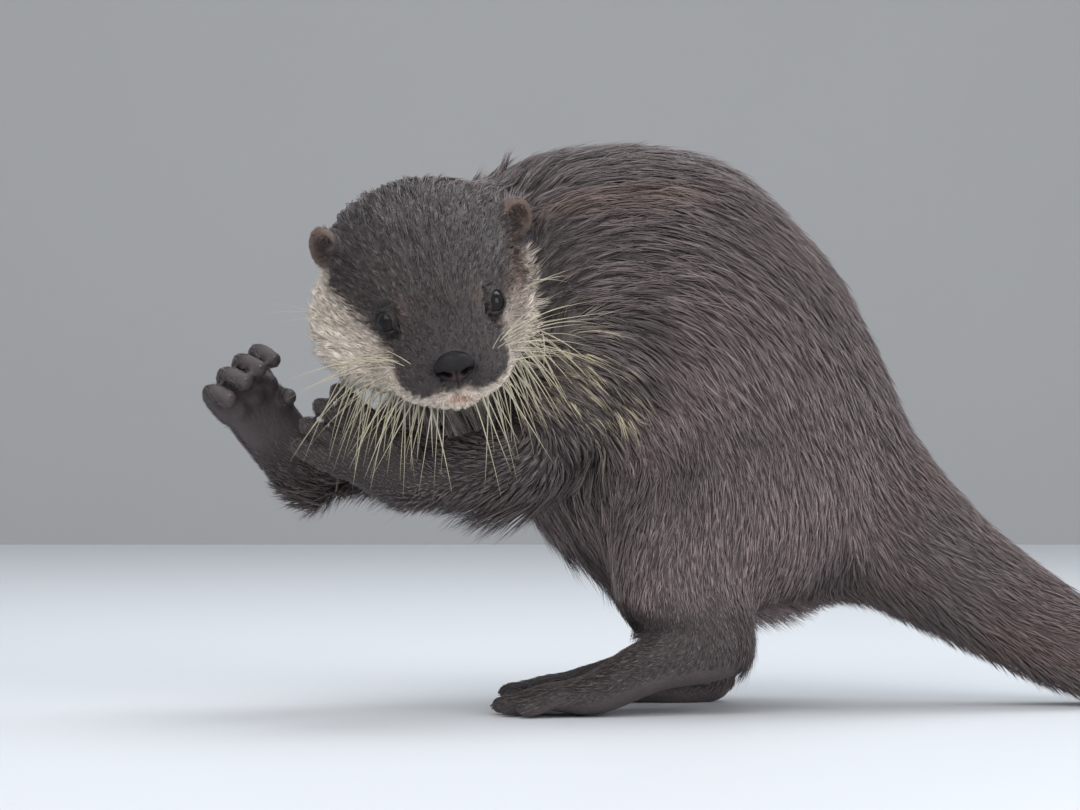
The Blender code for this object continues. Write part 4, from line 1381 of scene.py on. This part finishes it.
class Nodes:
    """A material's nodes, laid out from left to right as they are made."""

    def __init__(self, name, roughness, specular=0.5):
        self.material = bpy.data.materials.new(name)
        self.material.use_nodes = True
        self.tree = self.material.node_tree
        self.shader = self.tree.nodes["Principled BSDF"]
        self.shader.inputs["Roughness"].default_value = roughness
        self.shader.inputs["Specular IOR Level"].default_value = specular
        self.column = -1400

    def put(self, kind, values=(), output=0, **settings):
        """Adds a node. Values set its inputs by name or number, or link them from another node's output."""
        node = self.tree.nodes.new(kind)
        node.location = (self.column, 0)
        self.column += 60
        for key, value in settings.items():
            setattr(node, key, value)
        for key, value in dict(values).items():
            self.feed(node.inputs[key], value)
        return node.outputs[output]

    def feed(self, socket, value):
        """Links an output to a socket, or sets the socket's own value."""
        if isinstance(value, bpy.types.NodeSocket):
            self.tree.links.new(value, socket)
        else:
            socket.default_value = value

    def attribute(self, name):
        """A number that the mesh carries."""
        return self.put("ShaderNodeAttribute", output="Fac", attribute_name=name)

    def times(self, a, b):
        """Two numbers multiplied."""
        return self.put("ShaderNodeMath", {0: a, 1: b}, operation="MULTIPLY")

    def line(self, value, slope, start, clamp=False):
        """A number times the slope, plus the start."""
        values = {0: value, 1: slope, 2: start}
        return self.put("ShaderNodeMath", values, operation="MULTIPLY_ADD", use_clamp=clamp)

    def mix(self, share, a, b):
        """A mix of two colours."""
        values = {0: share, 6: coloured(a), 7: coloured(b)}
        return self.put("ShaderNodeMix", values, output=2, data_type="RGBA")

    def lit(self, colour, light):
        """A colour, so much lighter or darker."""
        return self.put("ShaderNodeVectorMath", {0: colour, "Scale": light}, operation="SCALE")

    def noise(self, scale, detail):
        """Noise over the piece, in the frame's metres."""
        place = self.put("ShaderNodeTexCoord", output="Object")
        return self.put("ShaderNodeTexNoise", {"Vector": place, "Scale": scale, "Detail": detail})

    def cells(self, scale):
        """Rounded cells, as in pebbled skin."""
        place = self.put("ShaderNodeTexCoord", output="Object")
        return self.put("ShaderNodeTexVoronoi", {"Vector": place, "Scale": scale}, feature="SMOOTH_F1")

    def grain(self, scale, detail, colour, low, high):
        """A colour that wanders between two shades of itself."""
        return self.mix(self.noise(scale, detail), shade(colour, low), shade(colour, high))

    def bump(self, height, strength, distance):
        """Bumps of so many metres."""
        return self.put("ShaderNodeBump", {"Height": height, "Strength": strength, "Distance": distance})

    def paint(self, colour, normal=None):
        """Ends the material with a colour and, if given, a bumped normal."""
        self.feed(self.shader.inputs["Base Color"], coloured(colour))
        if normal is not None:
            self.feed(self.shader.inputs["Normal"], normal)
        return self.material


def marked(made, plain, cream, colours, buff_share):
    """Lays the markings that the mesh carries over its plain colour, with the painted shade and painted fill
    light of the dark share.
    """
    coat = made.mix(buff_share, plain, colours.buff)
    coat = made.mix(made.attribute("warm"), coat, colours.warm)
    coat = made.mix(made.attribute("cream"), coat, cream)
    coat = made.mix(made.attribute("pink"), coat, colours.lip)
    return made.lit(coat, made.line(made.attribute("dark"), -0.8, 1.0))


def fur_material(colours, name="wet_fur", reddish=0.0):
    """Wet fur: painted shade at the root and down a lock's sides, a painted highlight on its crest, cream
    where the skin is.
    """
    made = Nodes(name, 0.42)
    along, crest, tone = (made.attribute(kind) for kind in ("along", "crest", "tone"))
    # painted shade and highlight: darker toward the root and down a lock's sides, lighter on its crest
    down = made.line(along, 0.5, 0.5)
    light = made.times(down, made.line(crest, 0.85, 0.15))
    # a sleek coat gets less of this painted shade
    sleek = made.times(made.attribute("sleek"), 0.5)
    light = made.line(made.line(light, -1.0, 1.0), sleek, light)
    brown = made.mix(light, colours.fur_root_shade, colours.fur_tip_lit)
    sharp = 2.2 + 2 * reddish
    patch = made.line(made.noise(26, 2), sharp, -0.36 * sharp, clamp=True)
    brown = made.mix(made.times(patch, 0.1 + 0.6 * reddish), brown, colours.fur_red)
    # the cream also gets painted shade toward the root
    cream = made.mix(down, colours.cream_root_shade, colours.cream)
    pale = made.times(made.attribute("buff"), made.line(tone, 0.34, 0.12, clamp=True))
    coat = marked(made, brown, cream, colours, pale)
    uneven = made.line(made.attribute("cream"), -0.11, 0.2)
    return made.paint(made.lit(coat, made.line(tone, uneven, 1.0)))


def skin_material(colours):
    """Skin and underfur: dark underfur with painted shade between the locks, pale under the cream, wrinkled
    and bare on the paws.
    """
    made = Nodes("skin", 0.6, 0.35)
    # the underfur takes the fur's root colour in painted shade, and under a sleek coat the fur's lit tip
    # colour
    under = made.grain(700, 4, colours.fur_root_shade, 0.55, 1.0)
    under = made.mix(made.times(made.attribute("sleek"), 0.4), under, colours.fur_tip_lit)
    under = marked(made, under, colours.cream_root_shade, colours, made.times(made.attribute("buff"), 0.12))
    # the bare skin takes the dark share too, with its painted shade and painted fill light
    light = made.line(made.attribute("dark"), -0.7, 1.0)
    mottled = made.lit(made.grain(160, 5, colours.paw, 0.7, 1.3), light)
    wrinkles = made.line(made.cells(620), 1.0, made.noise(1500, 3))
    return made.paint(made.mix(made.attribute("bare"), under, mottled), made.bump(wrinkles, 0.55, 0.0005))


def eye_material(colours):
    """A dark brown iris round a black pupil, under a wet cornea."""
    made = Nodes("eye", 0.1, 0.18)
    gaze = made.attribute("gaze")
    iris = made.grain(900, 4, colours.iris, 1.0, 0.45)
    ring = made.put("ShaderNodeMapRange", {"Value": gaze, "From Min": 0.88, "From Max": 0.82})
    edge = made.put("ShaderNodeMapRange", {"Value": gaze, "From Min": 0.62, "From Max": 0.52})
    return made.paint(made.mix(edge, made.mix(ring, PUPIL, iris), EYE_RIM))


def nose_material(colours):
    """Moist pebbled skin, with painted shade that makes it darkest in the nostrils."""
    made = Nodes("nose", 0.6, 0.14)
    colour = made.grain(240, 4, colours.nose, 0.75, 1.35)
    colour = made.mix(made.times(made.attribute("flush"), 0.55), colour, colours.flush)
    colour = made.mix(made.attribute("hollow"), colour, NOSTRIL_SHADE)
    return made.paint(colour, made.bump(made.cells(1500), 0.5, 0.0003))


def lid_material(colours):
    """Wet, nearly black skin."""
    made = Nodes("lid", 0.42, 0.4)
    return made.paint(made.grain(900, 3, colours.nose, 0.35, 0.8))


def whisker_material(colours):
    """Pale horn, a little darker at the tip."""
    made = Nodes("whisker", 0.38)
    return made.paint(made.mix(made.attribute("along"), colours.whisker, colours.buff))


def claw_material(colours):
    """Dark horn with a fine grain."""
    made = Nodes("claw", 0.35)
    return made.paint(made.grain(900, 3, colours.claw, 1.0, 1.6))


def plain_material(name, colour, roughness):
    """A quiet studio surface with a faint grain."""
    made = Nodes(name, roughness, 0.4)
    return made.paint(made.grain(6, 4, colour, 0.97, 1.0))


def dressed(made, material):
    """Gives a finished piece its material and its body."""
    made.data.materials.clear()
    made.data.materials.append(material)
    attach(made, "root")
    return made


# ---------------------------------------------------------------- settings
def length_setting(name, description, default):
    """A length in metres that a user may change."""
    return FloatProperty(
        name=name, description=description, default=default, unit="LENGTH", min=0, precision=5
    )


def colour_setting(name, description, default):
    """A colour that a user may change."""
    return FloatVectorProperty(
        name=name, description=description, default=default, subtype="COLOR", size=3, min=0, max=1
    )


class OtterSizes(bpy.types.PropertyGroup):
    """Sizes that a user would change."""

    skin_grain: length_setting("Skin grain", "Size of the skin's faces, twice that of the face's", 0.0011)
    eye_radius: length_setting("Eye radius", "Radius of an eyeball", 0.0053)
    fur_fullness: FloatProperty(
        name="Fur fullness", description="How many strands grow, against the plan",
        default=1.0, min=0.05, max=1.5,
    )
    seed: IntProperty(name="Seed", description="Start of the coat's random numbers", default=11, min=0)


class OtterColours(bpy.types.PropertyGroup):
    """Colours that a user would change."""

    # Fur root and fur tip are a shaded and a lit copy of one brown: painted shade near the skin and down a
    # lock's sides, and a painted highlight on a lock's crest
    fur_root_shade: colour_setting("Fur root", "Wet fur near the skin and down a lock's sides", (0.026, 0.02, 0.02))
    fur_tip_lit: colour_setting("Fur tip", "Wet fur on a lock's crest", (0.155, 0.122, 0.12))
    fur_red: colour_setting("Warm fur", "The warmer brown in patches and on the tail", (0.165, 0.105, 0.085))
    cream: colour_setting("Cream", "Cheeks, lips and chin", (0.82, 0.73, 0.63))
    # Cream root is the cream in painted shade near the skin.
    cream_root_shade: colour_setting("Cream root", "The cream hair near the skin", (0.58, 0.49, 0.42))
    warm: colour_setting("Warm buff", "The reddish buff by the eyes and on the ears", (0.28, 0.18, 0.13))
    lip: colour_setting("Lip", "The bare spot in the middle of the lower lip", (0.5, 0.26, 0.16))
    buff: colour_setting("Buff", "The neck's pale hairs and the whiskers' ends", (0.35, 0.3, 0.2))
    paw: colour_setting("Paw skin", "Bare wet skin of hands and feet", (0.062, 0.049, 0.05))
    nose: colour_setting("Nose", "The bare nose", (0.01, 0.009, 0.01))
    flush: colour_setting("Flush", "The pinkish skin between the nostrils", (0.1, 0.055, 0.055))
    iris: colour_setting("Iris", "The eye's coloured ring", (0.016, 0.01, 0.008))
    whisker: colour_setting("Whisker", "Whiskers, near the root", (0.42, 0.385, 0.29))
    claw: colour_setting("Claw", "Claws", (0.06, 0.045, 0.038))
    floor: colour_setting("Floor", "The studio's floor", (0.62, 0.64, 0.66))
    wall: colour_setting("Wall", "The studio's backdrop", (0.36, 0.36, 0.36))


# ---------------------------------------------------------------- operators
class OTTER_OT_skin(bpy.types.Operator):
    """Make the skin"""

    bl_idname = "otter.skin"
    bl_label = "Skin"

    def execute(self, context):
        """One skin stands for all the solids of flesh."""
        skin, regions = build_skin(context.scene.otter_sizes)
        kept = skin.data.attributes.new("region", "INT", "POINT")
        kept.data.foreach_set("value", regions.astype(np.int32))
        dressed(skin, skin_material(context.scene.otter_colours))
        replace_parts(skin, *FLESH)
        return {"FINISHED"}


class OTTER_OT_coat(bpy.types.Operator):
    """Grow the wet coat"""

    bl_idname = "otter.coat"
    bl_label = "Coat"

    def execute(self, context):
        """The coat is made region by region, in pieces of at most so many strands."""
        sizes, colours = context.scene.otter_sizes, context.scene.otter_colours
        skin = bpy.data.objects["skin"]
        rng = np.random.default_rng(sizes.seed)
        lie = Lie(skin, array_of(skin.data.attributes["region"].data, "value", 1, np.int32))
        lie.plan[DENSITY] = lie.plan[DENSITY] * sizes.fur_fullness
        ways, ups = lock_paths(rng, lie, *locks(rng, lie))
        parts = strands(rng, lie, ways, ups)
        roots, index = parts[:2]
        charts = unwrap_finder(skin)(roots)
        place = lie.regions[index]
        fur = fur_material(colours)
        tail_fur = fur_material(colours, "wet_tail_fur", reddish=0.5)
        for number, region in enumerate(COATS):
            chosen = np.flatnonzero(place == number)
            chosen = chosen[np.argsort(roots[chosen, 0], kind="stable")]
            pieces = max(math.ceil(len(chosen) / MOST_STRANDS), 1)
            for piece, some in enumerate(np.array_split(chosen, pieces)):
                name = f"coat_{region}_{piece + 1}" if pieces > 1 else f"coat_{region}"
                made = woven(name, some, rng, lie, parts, charts, region in SHORT)
                dressed(made, tail_fur if region == "tail" else fur)
        return {"FINISHED"}


class OTTER_OT_eyes(bpy.types.Operator):
    """Set the eyes"""

    bl_idname = "otter.eyes"
    bl_label = "Eyes"

    def execute(self, context):
        """Each eye stands for its own solid."""
        colours, radius = context.scene.otter_colours, context.scene.otter_sizes.eye_radius / MM
        material = eye_material(colours)
        for side, node in ((LEFT, "eye_left"), (RIGHT, "eye_right")):
            made = eyeball(side, radius)
            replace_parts(dressed(made, material), node)
        lids = joined("eyelids", [eyelids(side, radius) for side in SIDES])
        dressed(lids, lid_material(colours))
        return {"FINISHED"}


class OTTER_OT_nose(bpy.types.Operator):
    """Model the nose"""

    bl_idname = "otter.nose"
    bl_label = "Nose"

    def execute(self, context):
        """The nose pad stands for the nose's solid."""
        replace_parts(dressed(nose_pad(), nose_material(context.scene.otter_colours)), "nose")
        return {"FINISHED"}


class OTTER_OT_claws(bpy.types.Operator):
    """Add the claws"""

    bl_idname = "otter.claws"
    bl_label = "Claws"

    def execute(self, context):
        """Claws on the toes and the fingers."""
        dressed(claws(), claw_material(context.scene.otter_colours))
        return {"FINISHED"}


class OTTER_OT_whiskers(bpy.types.Operator):
    """Add the whiskers"""

    bl_idname = "otter.whiskers"
    bl_label = "Whiskers"

    def execute(self, context):
        """Whiskers of the muzzle, the cheeks and the chin."""
        rng = np.random.default_rng(context.scene.otter_sizes.seed + 1)
        made = whiskers(rng, bpy.data.objects["skin"])
        dressed(made, whisker_material(context.scene.otter_colours))
        return {"FINISHED"}


# ---------------------------------------------------------------- the studio
LAMPS = (  # name, place, width, watts and colour
    ("key", (-0.8, -1.5, 1.7), 1.8, 28, (1.0, 0.98, 0.96)),
    ("top", (0.3, 0.5, 1.6), 1.2, 18, (0.92, 0.96, 1.0)),
    ("side", (1.2, -1.2, 0.6), 1.2, 20, (0.97, 0.97, 1.0)),
)
LAMPS_AIM = Vector((0, 0, 0.1))
SKY, SKY_STRENGTH = (0.9, 0.94, 1.0, 1), 0.8
CAMERA_PLACE, CAMERA_TILT = (0, -1248, 98), 91.01  # the tilt is in degrees
CAMERA_LENS, CAMERA_FILM = 104, 36


def area_light(name, place, size, power, tint):
    """A soft lamp turned to the otter."""
    lamp = bpy.data.lights.new(name, "AREA")
    lamp.size = size
    lamp.energy = power
    lamp.color = tint
    made = bpy.data.objects.new(name, lamp)
    bpy.context.scene.collection.objects.link(made)
    made.location = place
    made.rotation_euler = (LAMPS_AIM - Vector(place)).to_track_quat("-Z", "Y").to_euler()


def plane(name, colour, roughness, place, turn):
    """A plain square, 8 m wide."""
    bpy.ops.object.select_all(action="DESELECT")
    bpy.ops.mesh.primitive_plane_add(size=8, location=place, rotation=(math.radians(turn), 0, 0))
    made = bpy.context.object
    made.name = name
    made.data.materials.append(plain_material(name, colour, roughness))
    return made


class OTTER_OT_stage(bpy.types.Operator):
    """Set up the studio"""

    bl_idname = "otter.stage"
    bl_label = "Stage"

    def execute(self, context):
        """Floor, backdrop, soft lamps and the camera."""
        colours = context.scene.otter_colours
        floor = plane("floor", colours.floor, 0.5, (0, 0, 0), 0)
        wall = plane("backdrop", colours.wall, 0.8, (0, 2.4, 2), 90)
        world = bpy.data.worlds.new("studio")
        world.use_nodes = True
        world.node_tree.nodes["Background"].inputs["Color"].default_value = SKY
        world.node_tree.nodes["Background"].inputs["Strength"].default_value = SKY_STRENGTH
        context.scene.world = world
        for lamp in LAMPS:
            area_light(*lamp)
        camera = bpy.data.cameras.new("camera")
        camera.lens = CAMERA_LENS
        camera.sensor_width = CAMERA_FILM
        camera.clip_start = 0.01
        made = bpy.data.objects.new("camera", camera)
        context.scene.collection.objects.link(made)
        made.location = BODY @ Vector(CAMERA_PLACE)
        made.rotation_euler = (math.radians(CAMERA_TILT), 0, 0)
        context.scene.camera = made
        context.scene.view_settings.view_transform = "Standard"
        return {"FINISHED"}


class OTTER_PT_panel(bpy.types.Panel):
    """Lists the otter's makers and settings"""

    bl_label = "Otter"
    bl_idname = "OTTER_PT_panel"
    bl_space_type = "VIEW_3D"
    bl_region_type = "UI"
    bl_category = "Otter"

    def draw(self, context):
        """Buttons in the order of making, then the settings."""
        for operator in OPERATORS:
            self.layout.operator(operator.bl_idname)
        for settings in (context.scene.otter_sizes, context.scene.otter_colours):
            box = self.layout.box()
            for name in settings.__annotations__:
                box.prop(settings, name)


OPERATORS = (
    OTTER_OT_stage,
    OTTER_OT_skin,
    OTTER_OT_eyes,
    OTTER_OT_nose,
    OTTER_OT_claws,
    OTTER_OT_whiskers,
    OTTER_OT_coat,
)
CLASSES = (OtterSizes, OtterColours, *OPERATORS, OTTER_PT_panel)


def register():
    """Registers the classes and the settings."""
    for made in CLASSES:
        bpy.utils.register_class(made)
    bpy.types.Scene.otter_sizes = PointerProperty(type=OtterSizes)
    bpy.types.Scene.otter_colours = PointerProperty(type=OtterColours)


def unregister():
    """Takes them away again."""
    del bpy.types.Scene.otter_colours
    del bpy.types.Scene.otter_sizes
    for made in reversed(CLASSES):
        bpy.utils.unregister_class(made)


def main():
    """Makes the whole otter."""
    register()
    bpy.ops.otter.stage()
    bpy.ops.otter.skin()
    bpy.ops.otter.eyes()
    bpy.ops.otter.nose()
    bpy.ops.otter.claws()
    bpy.ops.otter.whiskers()
    bpy.ops.otter.coat()


if __name__ == "__main__":
    main()
